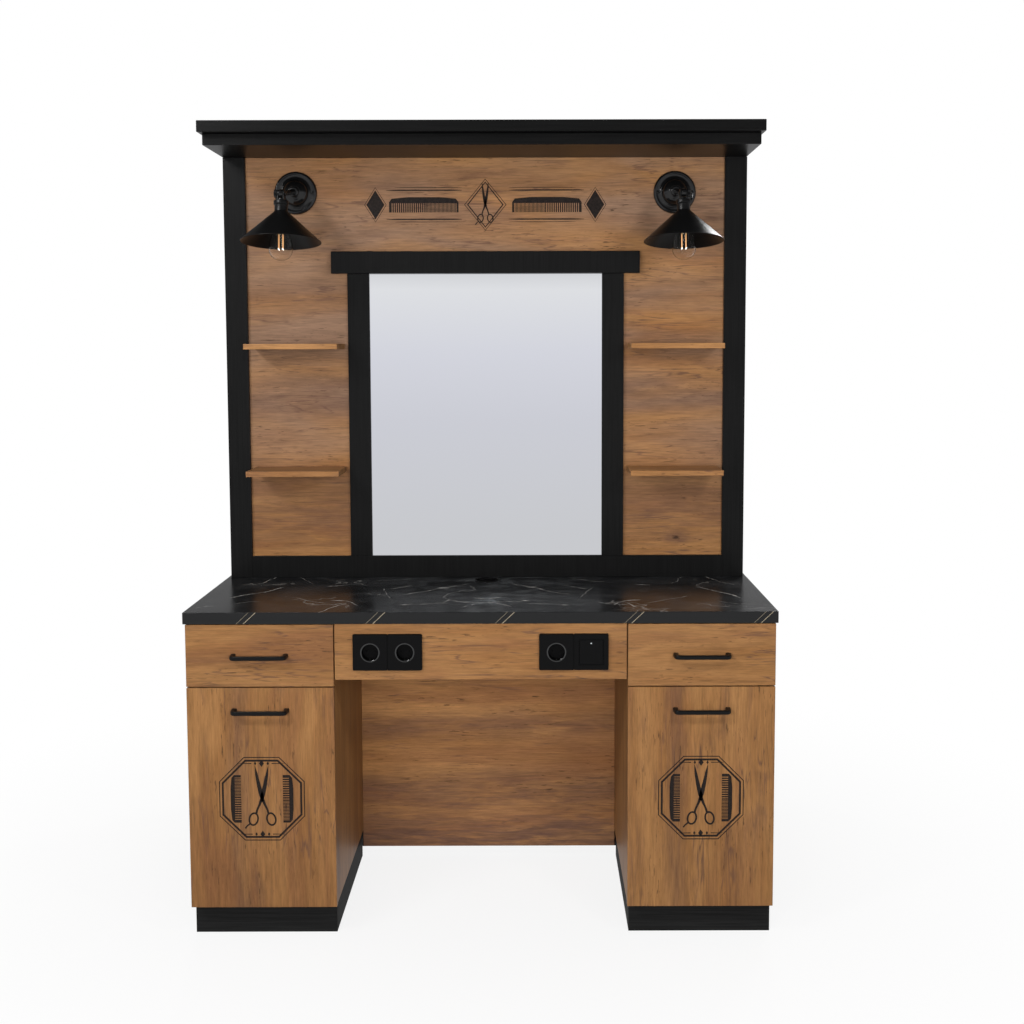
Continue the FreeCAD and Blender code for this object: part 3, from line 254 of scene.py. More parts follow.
# Aprons, and below them drawer fronts and doors: printed darker (tones 0.81 to 0.84, against 0.91 for the
# tower panels) as painted shade on the boards nearest the soft boxes.
dress(oak("oak_aprons", 0, (8.2, 0, 1.3), tone=0.83, grey=0.08, dusk=0.40), "aprons")
dress(oak("oak_shelves", 0, (1.7, 2, 0.4), cell=(1, 0.6, 0.2)), "wall_shelves")
dress(oak("oak_pedestal_sides", 2, (2.4, 4, 7.7), tone=0.86, grey=0, dusk=0.7, cell=(0.17, 0.6, 5)),
      "pedestal_sides")
dress(oak("oak_pedestal_inside", 0, (6.4, 1, 3.7), cell=(0.7, 0.6, 5)), "pedestal_decks", "pedestal_backs")
DOOR_MIDDLE = 0.521
for face, side, where in CORNERS:
    step = 1.9 * face + 0.8 * side
    door_middle = -face * side * DOOR_MIDDLE
    dress(oak(f"oak_drawer_{where}", 0, (4 + step, 0, 2 - step), tone=0.81, grey=0.08, dusk=0.40),
          f"drawer_front_{where}")
    dress(oak(f"oak_door_{where}", 2, (9 - step, 0, 6 + step), tone=0.84, grey=0.04, dusk=0.60,
              smoke_and_painted_light=((door_middle - 0.05, 0.045, 0.55),)), f"door_panel_{where}")


# --- Drawer boxes and fittings ---
# Inside each drawer is a box of pale 12 mm melamine board on galvanised roller runners. The doors turn
# on concealed hinges: a nickel-plated cup let into the door, and an arm on a plate on the side panel.
def pale_melamine():
    """Pale print: a fine mottle in its tone and its relief."""
    finish = Finish("pale_melamine", roughness=0.5)
    mottle = finish.noise(260)
    finish.feed(base_color=finish.blend(mottle.ramp(0.3, 0.7), (0.62, 0.61, 0.58), (0.70, 0.69, 0.66)))
    return finish.relief(mottle, 0.15, 0.0003)


def sheet_steel(name, tint, roughness):
    """Rolled plate: a fine brushed noise along Y varies the roughness and the relief."""
    finish = Finish(name, metallic=1)
    brushed = finish.noise((900, 30, 900), 3)
    spangle = finish.noise(120, 1)
    finish.feed(base_color=finish.blend(spangle.ramp(0.35, 0.65), tint, tuple(0.82 * c for c in tint)),
                roughness=(brushed - 0.5) * 0.2 + roughness)
    return finish.relief(brushed, 0.1, 0.0002)


melamine = pale_melamine()
runner_steel = sheet_steel("galvanised_runner", (0.58, 0.59, 0.60), 0.38)
hinge_nickel = sheet_steel("nickel_plate", (0.66, 0.64, 0.60), 0.26)
dress(runner_steel, "cabinet_runners")
dress(hinge_nickel, "hinge_mounts")
for _, _, where in CORNERS:
    dress(melamine, f"drawer_box_{where}")
    dress(runner_steel, f"drawer_slides_{where}")
    dress(hinge_nickel, f"door_hinge_cups_{where}")


# --- Black boards ---
# Plinths, the tower's sides and strips, the mirror's stiles and lintel and the two cornice boards are
# black melamine with a shallow pressed wood pore and an even satin sheen.
def black_melamine(name, grain, tone=0.0048, roughness=0.34, gloss=0.13):
    """Black print along one axis: drawn-out pores lighten it a little, and a slow noise varies its gloss."""
    finish = Finish(name, specular_ior_level=gloss)
    pores = finish.noise(tuple(7 if axis == grain else 420 for axis in range(3)), 3, 0.6)
    bloom = finish.noise(2.2)
    finish.feed(base_color=finish.blend(pores.ramp(0.3, 0.7), (tone,) * 3, (tone * 1.6,) * 3),
                roughness=(bloom - 0.5) * 0.14 + (pores - 0.5) * 0.10 + roughness)
    return finish.relief(pores, 0.10, 0.0003)


dress(black_melamine("black_upright", 2), "tower_core", "mirror_frames", "face_strips")
dress(black_melamine("black_plinth", 0, 0.0135, 0.60, 0.05), "plinth_boards")
dress(black_melamine("black_cornice", 0, 0.0040, 0.34), "cornice_soffit", "cornice_cap")


# --- Worktops ---
# Each worktop is 28 mm board under a black marble laminate whose veins are book-matched about the
# middle. The edge band is a print of its own, where pairs of slanted veins come back every 304 mm.
VEINS = (
    # distance from the middle and from the front edge at both ends in mm, half width in mm, strength
    (632, 165, 538, 303, 1.7, 0.85), (646, 328, 604, 366, 1.1, 0.55), (604, 366, 580, 444, 1.5, 0.60),
    (372, 137, 343, 130, 2.6, 1.00), (343, 130, 312, 86, 1.6, 0.75), (394, 6, 372, 46, 1.2, 0.55),
    (372, 46, 345, 98, 1.4, 0.70), (508, 190, 386, 94, 1, 0.40), (411, 324, 379, 341, 1.8, 0.55),
    (206, 212, 150, 258, 1.5, 0.60), (150, 258, 118, 292, 2.2, 0.80), (118, 292, 62, 356, 1.4, 0.55),
    (254, 285, 199, 326, 1.5, 0.45), (236, 174, 268, 286, 1.1, 0.40), (84, 131, 0, 98, 1.8, 0.60),
    (182, 86, 100, 99, 1.6, 0.45), (690, 60, 560, 128, 1, 0.35), (300, 380, 214, 428, 1.2, 0.35),
    (470, 352, 520, 440, 1.1, 0.35), (91, 143, 100, 139, 3.4, 1.00), (111, 291, 125, 297, 3.6, 1.00),
    (185, 80, 200, 77, 3, 0.80), (30, 168, 4, 150, 2.2, 0.90), (60, 60, 22, 96, 1.4, 0.60),
)
MARBLE_FOLD = -0.009
VEIN_BEND, VEIN_SWAY, VEIN_SWAY_BACK = 0.014, 0.040, 0.050
BAND_TOP, BAND_SLOPE, BAND_START, BAND_PITCH = 0.795, 1.06, 0.074, 0.304


def marble():
    """Near-black stone: two slow clouds of grey, veins as distances to straight segments in the plane
    folded at the middle, a web of hairlines from the distance to cell edges, and the band's slanted
    pairs on the upright faces. Every vein is broken up and bent by noise. The grey cloud is stronger
    over the middle: a painted pale reflection of the mirror."""
    finish = Finish("black_marble", specular_ior_level=0.34)
    x, y, z = finish.axes(finish.place)
    face = y / abs(y)
    bend = finish.noise(26, 3, 0.6) - 0.5
    bend_back = finish.noise(31, 3, 0.6, shift=(5, 2, 9)) - 0.5
    sway = finish.noise(8, 1) - 0.5
    sway_back = finish.noise(9, 1, shift=(2, 7, 4)) - 0.5
    out = abs(x - face * MARBLE_FOLD) + bend * VEIN_BEND + sway * VEIN_SWAY
    in_from_edge = (float(-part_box("worktop_front")[0].y) - abs(y)) + bend_back * VEIN_BEND
    in_from_edge = in_from_edge + sway_back * VEIN_SWAY_BACK
    broken = finish.noise(42, 3).ramp(0.38, 0.60)
    veins = broken * 0
    for *ends, half_width, strength in VEINS:
        x0, y0, x1, y1 = (0.001 * end for end in ends)
        length = math.hypot(x1 - x0, y1 - y0)
        ux, uy = (x1 - x0) / length, (y1 - y0) / length
        along = (out - x0) * ux + (in_from_edge - y0) * uy
        past = abs(along - length / 2) - length / 2
        beside = abs((out - x0) * uy - (in_from_edge - y0) * ux)
        line = beside.ramp(0.0015 * half_width, 0.0005 * half_width) * past.ramp(0.012, -0.012)
        veins = veins.combined("MAXIMUM", line * strength)
    warp = finish.add("TexNoise", {}, {"Vector": finish.place, "Scale": 9, "Detail": 3}, out="Color")
    warped = finish.summed(finish.scaled(finish.place, (3.4, 4.6, 3), (1.3, 0.4, 0)), warp)
    web = finish.cells(warped, "Distance", "DISTANCE_TO_EDGE").ramp(0.016, 0)
    hairs = web * finish.noise(7, shift=(3, 3, 3)).ramp(0.50, 0.66) * 0.30

    flat = abs(finish.axes(finish.add("NewGeometry", out="Normal"))[2]).ramp(0.6, 0.9)
    run = (x * face * -1 - z * BAND_SLOPE + BAND_TOP * BAND_SLOPE - BAND_START) / BAND_PITCH
    beat = run - run.combined("FLOOR")
    pair = abs(beat - 0.02).ramp(0.0054, 0.0018)
    pair_dim = abs(beat - 0.965).ramp(0.0046, 0.0014) * 0.42
    band = (pair * 0.9).combined("MAXIMUM", pair_dim) * (1 - flat)

    grey = finish.noise((5, 7, 5), 4, 0.6, 0.8)
    smoke_and_painted_light = finish.noise((13, 22, 13), 4, 0.65, 1.4)
    base = finish.blend(grey.ramp(0.42, 0.74), (0.0105, 0.0110, 0.0120), (0.036, 0.037, 0.039))
    # Over the middle the grey cloud is strengthened: a painted pale reflection of the mirror.
    painted_mirror_reflection = out.ramp(0.36, 0.05) * 0.75
    base = finish.blend(smoke_and_painted_light.ramp(0.42, 0.68) * (painted_mirror_reflection + 0.20), base, (0.105, 0.110, 0.113))
    bloom = out.ramp(0.075, 0) * abs(in_from_edge - 0.125).ramp(0.085, 0) * smoke_and_painted_light.ramp(0.35, 0.62)
    base = finish.blend(bloom * 0.65, base, (0.27, 0.30, 0.32))
    base = finish.blend(flat, (0.0085, 0.0087, 0.0092), base)
    lines = (veins * (broken * 0.75 + 0.25) * flat).combined("MAXIMUM", hairs * flat)
    base = finish.blend(lines, base, (0.74, 0.71, 0.66))
    base = finish.blend(band, base, (0.36, 0.30, 0.21))
    finish.feed(base_color=base, roughness=(grey - 0.5) * 0.10 + 0.25)
    return finish.relief(smoke_and_painted_light, 0.04, 0.0003)


dress(marble(), "worktop_front", "worktop_rear")


# --- Mirrors ---
# Each mirror is a 4 mm sheet of silvered float glass, held between the stiles and the lintel.
MIRROR_LEAN = 0.025


def silvered_glass():
    """A cool mirror. Its normal leans up by 1.4 degrees, for a sheet that leans back a little."""
    finish = Finish("silvered_glass", metallic=1, base_color=(0.895, 0.910, 0.945))
    leaning = finish.summed(finish.add("NewGeometry", out="Normal"), (0, 0, MIRROR_LEAN))
    return finish.feed(roughness=finish.noise(3, 1) * 0.012 + 0.004,
                       normal=finish.add("VectorMath", {"operation": "NORMALIZE"}, {0: leaning}))


dress(silvered_glass(), "mirrors")


# --- Handles ---
# A bar handle of die-cast zinc, powder-coated black, on each drawer and door: a flat bar between two
# feet that widen where they meet the board, 128 mm between the two screws behind.
def surface(name, rows, finish, cap_ends=False, crease=35):
    """A mesh from a grid of points, rows by columns. Each row closes on itself, and capped ends get a
    fan on the middle of the first and last row."""
    rows = np.asarray(rows, float)
    count, width = rows.shape[:2]
    points = rows.reshape(-1, 3)
    index = np.arange(count * width).reshape(count, width)
    right = np.roll(index, -1, axis=1)
    faces = np.stack([index[:-1], right[:-1], right[1:], index[1:]], axis=-1).reshape(-1, 4).tolist()
    if cap_ends:
        points = np.vstack([points, rows[0].mean(axis=0), rows[-1].mean(axis=0)])
        for ring, hub, order in ((index[0], count * width, -1), (index[-1], count * width + 1, 1)):
            faces += np.stack([ring, np.roll(ring, -1), np.full(width, hub)], axis=-1)[:, ::order].tolist()
    return built(name, points, faces, finish, crease)


def built(name, points, faces, finish, crease):
    """A piece from points and faces: doubled points are merged, faces with no area dropped, all faces
    turned outwards, and edges sharper than the crease angle kept sharp in the shading."""
    mesh = bpy.data.meshes.new(name)
    mesh.from_pydata(points.tolist(), [], faces)
    shell = bmesh.new()
    shell.from_mesh(mesh)
    bmesh.ops.remove_doubles(shell, verts=shell.verts, dist=1e-6)
    bmesh.ops.dissolve_degenerate(shell, edges=shell.edges, dist=1e-7)
    bmesh.ops.recalc_face_normals(shell, faces=shell.faces)
    shell.to_mesh(mesh)
    shell.free()
    mesh.polygons.foreach_set("use_smooth", np.ones(len(mesh.polygons), bool))
    mesh.set_sharp_from_angle(angle=math.radians(crease))
    mesh.materials.append(finish.material)
    return linked(name, mesh)


def linked(name, data):
    item = bpy.data.objects.new(name, data)
    scene.collection.objects.link(item)
    return item


def joined(name, pieces):
    """Several pieces made one mesh, each face keeping its finish."""
    bpy.ops.object.select_all(action="DESELECT")
    for piece in pieces:
        piece.select_set(True)
    bpy.context.view_layer.objects.active = pieces[0]
    bpy.ops.object.join()
    pieces[0].name = name
    pieces[0].data.name = name
    return pieces[0]


def moved(points, facing, tilt=0, place=(0, 0, 0)):
    """Local points (x right, y away from the viewer, z up, as seen from one side) put into the frame:
    turned about X by the tilt, then for the rear side half a turn about Z, then moved to their place."""
    points = np.asarray(points, float)
    cos, sin = math.cos(tilt), math.sin(tilt)
    x, y, z = points[..., 0], points[..., 1], points[..., 2]
    y, z = y * cos - z * sin, y * sin + z * cos
    return np.stack([-facing * x, -facing * y, z], axis=-1) + np.asarray(place, float)


def around(count):
    """Angles at even steps round a full turn."""
    return np.linspace(0, 2 * math.pi, count, endpoint=False)


def on_circle(angle):
    """Points (cos a, sin a)."""
    return np.stack([np.cos(angle), np.sin(angle)], axis=-1)


def rounded_box(width, height, radius, steps=4):
    """Points around a rounded rectangle in a plane: four quarter circles joined by straight sides."""
    angle = np.linspace(0, math.pi / 2, steps + 1)
    corners = []
    for quarter, (sx, sy) in enumerate(((1, 1), (-1, 1), (-1, -1), (1, -1))):
        corners.append((sx * (width / 2 - radius), sy * (height / 2 - radius))
                       + radius * on_circle(angle + quarter * math.pi / 2))
    return np.concatenate(corners)


def powder_coat(name, roughness=0.42, gloss=0.32):
    """Black powder coat: a fine orange-peel relief and slight changes of gloss."""
    finish = Finish(name, base_color=(0.0042, 0.0042, 0.0044), specular_ior_level=gloss)
    finish.feed(roughness=(finish.noise(45) - 0.5) * 0.16 + roughness)
    return finish.relief(finish.noise(900), 0.12, 0.0003)


SPAN, REACH, HEIGHT = 0.136, 0.0298, 0.0098
BAR, FOOT, FOOT_LENGTH, FOOT_FLARE = 0.0078, 0.0125, 0.030, 0.0010
BEND, CORNER = 0.0075, 0.26
black_coat = powder_coat("black_powder_coat", gloss=0.20)


def bar_handle(name, middle, facing, body, node):
    """A section carried along half a path and mirrored: out from the board along a foot, round a bend
    of one radius and along the bar. The section is wide and tall at the foot and slims to the bar."""
    bend = np.linspace(0, math.pi / 2, 9)
    half = SPAN / 2 - FOOT / 2
    foot_y = np.linspace(0, -(REACH - BAR / 2 - BEND), 6)
    foot = np.stack([np.full(6, -half), foot_y, np.zeros(6)], axis=-1)
    arc = np.stack([-half + BEND * (1 - np.cos(bend)), foot_y[-1] - BEND * np.sin(bend),
                    np.zeros(9)], axis=-1)[1:]
    bar = np.stack([np.linspace(arc[-1, 0], 0, 8), np.full(8, arc[-1, 1]), np.zeros(8)], axis=-1)[1:]
    path = np.concatenate([foot, arc, bar])
    path = np.concatenate([path, (path * (-1, 1, 1))[-2::-1]])
    tangent = np.gradient(path, axis=0)
    tangent /= np.linalg.norm(tangent, axis=1, keepdims=True)
    side = np.cross((0, 0, 1), tangent)
    run = np.concatenate([[0], np.cumsum(np.linalg.norm(np.diff(path, axis=0), axis=1))])
    from_foot = np.minimum(run, run[-1] - run)
    slim = np.clip(from_foot / FOOT_LENGTH, 0, 1)
    slim = slim * slim * (3 - 2 * slim)
    thick = FOOT + (BAR - FOOT) * slim
    tall = HEIGHT + FOOT_FLARE * (1 - slim)
    ring = rounded_box(1, 1, CORNER, 3)
    rows = (path[:, None, :] + side[:, None, :] * (ring[None, :, 0] * thick[:, None])[..., None]
            + np.array((0, 0, 1)) * (ring[None, :, 1] * tall[:, None])[..., None])
    handle = surface(name, moved(rows, facing, place=middle), black_coat, cap_ends=True, crease=50)
    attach(handle, body)
    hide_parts(node)


for face, _, where in CORNERS:
    for kind in ("drawer", "door"):
        low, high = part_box(f"{kind}_handle_{where}")
        middle = ((low.x + high.x) / 2, high.y if face < 0 else low.y, (low.z + high.z) / 2)
        bar_handle(f"{kind}_bar_handle_{where}", middle, face, f"{kind}_{where}", f"{kind}_handle_{where}")


# --- Inlaid signs ---
# The header and the two doors of each side carry plain trade signs, combs, scissors and lozenges, cut
# from dark brown-black vinyl film a quarter of a millimetre thick and pressed onto the oak print.
def vinyl_film():
    """Matt film: a faint mottle in its tone and a leathery relief."""
    finish = Finish("dark_vinyl_film", roughness=0.5, specular_ior_level=0.22)
    mottle = finish.noise(240)
    finish.feed(base_color=finish.blend(mottle.ramp(0.3, 0.7), (0.0085, 0.0062, 0.0056),
                                        (0.0175, 0.0125, 0.0105)))
    return finish.relief(mottle, 0.08, 0.0002)


def stroke(path, widths):
    """The outline of a line of varying width: the path offset to both sides by half the width along its
    normal."""
    path = np.asarray(path, float)
    tangent = np.gradient(path, axis=0)
    tangent /= np.linalg.norm(tangent, axis=1, keepdims=True)
    normal = np.stack([-tangent[:, 1], tangent[:, 0]], axis=-1)
    half = np.broadcast_to(np.asarray(widths, float) / 2, len(path))[:, None]
    return [np.concatenate([path + normal * half, (path - normal * half)[::-1]])]


def smooth_path(points, steps=6):
    """A curve through points: Catmull-Rom, where each span is a cubic set by its four nearest points."""
    points = np.asarray(points, float)
    ends = np.concatenate([[2 * points[0] - points[1]], points, [2 * points[-1] - points[-2]]])[:, None]
    a, b, c, d = ends[:-3], ends[1:-2], ends[2:-1], ends[3:]
    t = np.linspace(0, 1, steps, endpoint=False)[:, None]
    spans = 0.5 * (2 * b + (c - a) * t + (2 * a - 5 * b + 4 * c - d) * t ** 2
                   + (3 * b - a - 3 * c + d) * t ** 3)
    return np.concatenate([spans.reshape(-1, 2), points[-1:]])


def hoop(half_width, half_height, band, sides=28, turn=0, middle=(0, 0)):
    """A band between two similar outlines with the given number of sides, the inner one in by the band."""
    unit = on_circle(around(sides) + turn)
    return [unit * (half_width - inset, half_height - inset) + middle for inset in (0, band)]


def lozenge(middle, half_width, half_height):
    """Four corners, half a width and half a height from the middle."""
    return [np.array([(half_width, 0), (0, half_height), (-half_width, 0), (0, -half_height)]) + middle]


def placed(shapes, turn=0, scale=1, shift=(0, 0)):
    """Shapes turned about their origin, scaled and shifted, in millimetres."""
    cos, sin = math.cos(math.radians(turn)), math.sin(math.radians(turn))
    spin = np.array(((cos, sin), (-sin, cos)))
    return [[(np.asarray(loop) * scale) @ spin + shift for loop in shape] for shape in shapes]


def flipped(shapes, side):
    """Shapes mirrored left to right for the side -1, and as they are for the side 1."""
    return [[loop * (side, 1) for loop in shape] for shape in shapes]


def comb(length=170, depth=32):
    """A barber's comb: a spine that tapers to both ends, wide teeth on one half and fine teeth on the
    other, as one outline that goes down and up each tooth."""
    half, root = length / 2, depth * 0.10
    x = 7 - half
    outline = [(-half, -depth / 2), (x, -depth / 2), (x, root)]
    for pitch, tooth, until in ((5.6, 3.3, 0), (3.5, 2, half - 8)):
        while x < until:
            outline += [(x + pitch - tooth, root), (x + pitch - tooth, -depth / 2), (x + pitch, -depth / 2),
                        (x + pitch, root)]
            x += pitch
    outline += [(x + 1.6, root), (x + 1.6, -depth / 2), (half, -depth / 2), (half, depth * 0.16),
                (half - 7, depth * 0.40), (length * 0.22, depth / 2), (-length * 0.22, depth / 2),
                (7 - half, depth * 0.40), (-half, depth * 0.16)]
    return [[np.array(outline)]]


def scissors(spread=9):
    """Open scissors pointing up: two halves mirrored about the pivot, each a blade that swells and comes
    to a point, a shank that curves out and a finger ring; one ring has a finger rest."""
    shapes = []
    for sign in (-1, 1):
        blade = stroke(smooth_path([(-1, -9), (0.4, 6), (0.9, 26), (0.6, 48), (-0.4, 70)]),
                       np.interp(np.linspace(0, 1, 25), (0, 0.2, 0.45, 0.8, 1), (4, 9.4, 8.6, 5.4, 0.5)))
        shank = stroke(smooth_path([(-0.6, -6), (-2, -16), (-4.5, -27), (-5.4, -37)]),
                       np.interp(np.linspace(0, 1, 19), (0, 0.5, 1), (6.4, 4.4, 4.4)))
        ring = hoop(11, 15, 3.8, middle=(-8.4, -50.5))
        half = placed([blade, shank, ring], turn=-spread)
        if sign > 0:
            rest = stroke(smooth_path([(-14.5, -62.5), (-19, -68), (-22, -74)]), 3.2)
            half += placed([rest], turn=-spread)
        shapes += flipped(half, sign)
    return shapes + [hoop(2.2, 2.2, 1, 14)]


def upright(ring, y):
    """A flat ring stood upright at one depth."""
    return np.column_stack([ring[:, 0], np.full(len(ring), y), ring[:, 1]])


def inlay(name, shapes, middle, facing, body):
    """Thin plates from flat outlines in mm: both faces filled with triangles, and a wall round every
    loop. The points of a plate's front follow those of its back."""
    points, faces = np.zeros((0, 3)), []
    for loops in shapes:
        start, size = len(points), sum(len(loop) for loop in loops)
        outlines = [[mathutils.Vector((x, z, 0)) for x, z in loop] for loop in loops]
        for y in (0, -FILM):
            points = np.vstack([points] + [upright(0.001 * np.array(outline), y) for outline in outlines])
        filled = start + np.array(mathutils.geometry.tessellate_polygon(outlines))
        faces += filled.tolist() + (size + filled[:, ::-1]).tolist()
        for loop in loops:
            here = start + np.arange(len(loop))
            after = np.roll(here, -1)
            faces += np.stack([here, after, after + size, here + size], axis=-1).tolist()
            start += len(loop)
    piece = built(name, moved(points, facing, place=middle), faces, film, crease=20)
    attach(piece, body)


FILM = 0.00025
HEADER_HEIGHT, BADGE_HEIGHT = 1.790, 0.346
film = vinyl_film()
taper = np.interp(np.linspace(0, 1, 13), (0, 0.12, 0.88, 1), (0.3, 1, 1, 0.3))
header = placed(scissors(), scale=0.80, shift=(0, 3))
header += [hoop(56, 68, 2.2, 4), hoop(48.5, 60.5, 3.8, 4)]
for side in (-1, 1):
    header += flipped(placed(comb(184, 40), shift=(-163, 0)), side)
    for height, width, far in ((38, 3.4, 262), (-38, 3.4, 262), (45, 1.5, 240), (-45, 1.5, 240)):
        line = np.column_stack([np.linspace(62, far, 13) * side, np.full(13, height)])
        header.append(stroke(line, taper * width))
    header += [lozenge((side * 291, 0), 24, 38), hoop(29.5, 46, 1.8, 4, middle=(side * 291, 0))]
badge = [*(hoop(size, size, band, 8, math.pi / 8) for size, band in ((110, 2.4), (103, 5))),
         *placed(scissors(12), scale=1.12, shift=(0, 4)),
         *placed(comb(116, 25), turn=90, shift=(-62, 0)),
         *placed(comb(116, 25), turn=-90, shift=(62, 0))]
for sign in (-1, 1):
    badge += placed([lozenge((0, 86), 6, 8.5), lozenge((-15, 86), 3, 4.6),
                     lozenge((15, 86), 3, 4.6)], turn=90 - sign * 90)
    badge += [stroke([(sign * x, z) for x in (24, 39, 54)], (2.2, 1.6, 0.5)) for z in (86, -86)]
for face, face_name in FACES:
    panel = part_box("tower_panels")[0 if face < 0 else 1].y
    inlay(f"header_sign_{face_name}", header, (0, panel, HEADER_HEIGHT), face, "station")
    for _, side_name in SIDES:
        where = f"{face_name}_{side_name}"
        low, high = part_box(f"door_panel_{where}")
        middle = ((low.x + high.x) / 2, low.y if face < 0 else high.y, BADGE_HEIGHT)
        inlay(f"door_sign_{where}", badge, middle, face, f"door_{where}")


# --- Cable grommets ---
# A moulded black sleeve with a rounded rim lines the cable hole in each worktop, and a lid with a slot
# for the cables drops into it.
def satin_plastic(name, tone, roughness, gloss=0.16):
    """Moulded plastic: a fine spark-eroded grain in the relief, and a faint change of gloss."""
    finish = Finish(name, base_color=(tone, tone, tone * 1.05), specular_ior_level=gloss)
    finish.feed(roughness=(finish.noise(30) - 0.5) * 0.12 + roughness)
    return finish.relief(finish.noise(1400), 0.10, 0.0002)


def eased(outline, radius, steps=3):
    """An open outline, given in mm and made in metres, with each inner corner replaced by a short curve
    that starts and ends one radius (or under half a side) from the corner: a quadratic curve with the
    corner as its middle control point."""
    outline = 0.001 * np.asarray(outline, float)
    corner = outline[1:-1, None]
    back, on = outline[:-2, None] - corner, outline[2:, None] - corner
    back_length, on_length = (np.linalg.norm(side, axis=-1, keepdims=True) for side in (back, on))
    reach = np.minimum(0.001 * radius, 0.45 * np.minimum(back_length, on_length))
    start, end = corner + back / back_length * reach, corner + on / on_length * reach
    t = np.linspace(0, 1, steps + 1)[:, None]
    curves = (1 - t) ** 2 * start + 2 * t * (1 - t) * corner + t ** 2 * end
    return np.concatenate([outline[:1], curves.reshape(-1, 2), outline[-1:]])


def lathe(outline, segments=64):
    """A closed outline of (radius, height) turned about Z: x = r cos a, y = r sin a."""
    outline = np.asarray(outline, float)
    circle = np.broadcast_to(on_circle(around(segments)), (len(outline), segments, 2))
    return np.dstack([outline[:, :1, None] * circle, np.repeat(outline[:, 1:], segments, axis=1)])


def spun(outline, radius, segments=64):
    """An outline in mm turned about Z, its corners eased by a radius."""
    return lathe(eased(outline, radius), segments)


black_plastic = satin_plastic("black_moulded_plastic", 0.0024, 0.36, 0.13)
for face, face_name in FACES:
    low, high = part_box("cable_grommets")
    rim = 1000 * (high.x - low.x) / 2
    bore, sleeve, ledge = rim - 6, rim - 3.3, rim - 7.8
    place = (0, face * (abs(low.y) - 0.001 * rim), high.z - 0.002)
    ring = spun([(bore, -3), (bore, 2), (rim, 2), (rim, 0.2), (sleeve, 0.2), (sleeve, -20), (ledge, -20),
                 (ledge, -3), (bore, -3)], 1.4)
    sleeve_ring = surface(f"grommet_ring_{face_name}", moved(ring, face, place=place), black_plastic)

    # The lid is a disc whose rim steps in to the slot.
    lid_radius, slot_half, slot_depth = 0.001 * bore - 0.0003, 0.0105, 0.0135
    circle = lathe([(lid_radius, 0)], 96)[0, :, :2]
    circle[(np.abs(circle[:, 0]) < slot_half) & (circle[:, 1] > 0), 1] = lid_radius - slot_depth
    levels = ((0, -0.003), (1, -0.003), (1, -0.0016), (0.975, -0.001), (0, -0.001))
    lid_rows = np.stack([np.column_stack([circle * share, np.full(96, height)]) for share, height in levels])
    lid = surface(f"grommet_lid_{face_name}", moved(lid_rows, face, place=place), black_plastic, crease=30)
    grommet = joined(f"cable_grommet_{face_name}", [sleeve_ring, lid])
    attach(grommet, "station")
    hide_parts("cable_grommets")


# --- Outlets and switch ---
# Flush outlet modules in satin black: a square plate with a round recess, two contact holes in its floor
# and a spring earthing clip left and right. The contact holes are matt black discs, painted shade in place
# of open holes. The last module of each set is a light switch with a wide rocker and a small indicator
# lens. Sizes are in mm.
MODULE = {"width": 81.48, "height": 86, "corner": 2.2, "proud": 9, "pitch": 81.5}
RECESS = {"radius": 19.5, "depth": 17.5, "contact_half": 9.5}
ROCKER = {"width": 56, "height": 59, "rest_tilt": math.radians(-4)}
clip_nickel = sheet_steel("nickel_clip", (0.62, 0.61, 0.58), 0.22)
indicator = Finish("indicator_lens", base_color=(0.42, 0.45, 0.47), roughness=0.15,
                   emission_color=(0.75, 0.82, 0.86), emission_strength=0.18)
# Matt black discs for the contact holes: painted shade in place of open holes.
hole_painted_shade = satin_plastic("contact_hole", 0.002, 0.8)
deep_black = satin_plastic("recess_black_plastic", 0.0020, 0.45, 0.10)
black_gloss = satin_plastic("black_gloss_plastic", 0.0040, 0.14, 1)


def squared(width, height, radius, angle):
    """Points of a rounded rectangle at given angles from its middle: a dense outline, read by angle."""
    dense = rounded_box(width, height, radius, 16)
    dense = np.concatenate([dense + (np.roll(dense, -1, axis=0) - dense) * share
                            for share in np.linspace(0, 1, 12, endpoint=False)])
    turn = np.arctan2(dense[:, 1], dense[:, 0])
    order = np.argsort(turn)
    reach = np.interp(angle, turn[order], np.hypot(dense[:, 0], dense[:, 1])[order], period=2 * math.pi)
    return reach[:, None] * on_circle(angle)


def along_x(rows):
    """Turned rows laid along X."""
    return rows[..., [2, 0, 1]]


def along_y(rows, sign=-1):
    """Turned rows stood on a wall: their height runs out from the wall, towards the viewer."""
    return rows[..., [0, 2, 1]] * (1, sign, 1)


def plate_rows(levels):
    """Rings from (kind, size, forward) levels: "edge" insets the plate's rounded square by its size,
    "well" widens the rocker's, and "round" is a circle of that radius. All rings share the same 144
    angles, so each joins to the next."""
    angle = np.linspace(-math.pi, math.pi, 144, endpoint=False)
    rings = []
    for kind, size, forward in levels:
        if kind == "edge":
            ring = squared(MODULE["width"] - 2 * size, MODULE["height"] - 2 * size,
                           max(MODULE["corner"] - size, 0.6), angle)
        elif kind == "well":
            ring = squared(ROCKER["width"] + 2 * size, ROCKER["height"] + 2 * size, 2.4, angle)
        else:
            ring = size * on_circle(angle)
        rings.append(upright(ring, -forward))
    return 0.001 * np.stack(rings)


def rod(radius, low, high, ease, segments):
    """A round rod between two heights, its two edges eased."""
    return spun([(0, low), (radius, low), (radius, high), (0, high)], ease, segments)


def disc(radius, depth, middle):
    """A low disc with eased edges, lying along -Y from its middle point."""
    return along_y(rod(radius, 0, depth, 0.12 * radius, 28)) + 0.001 * np.asarray(middle)


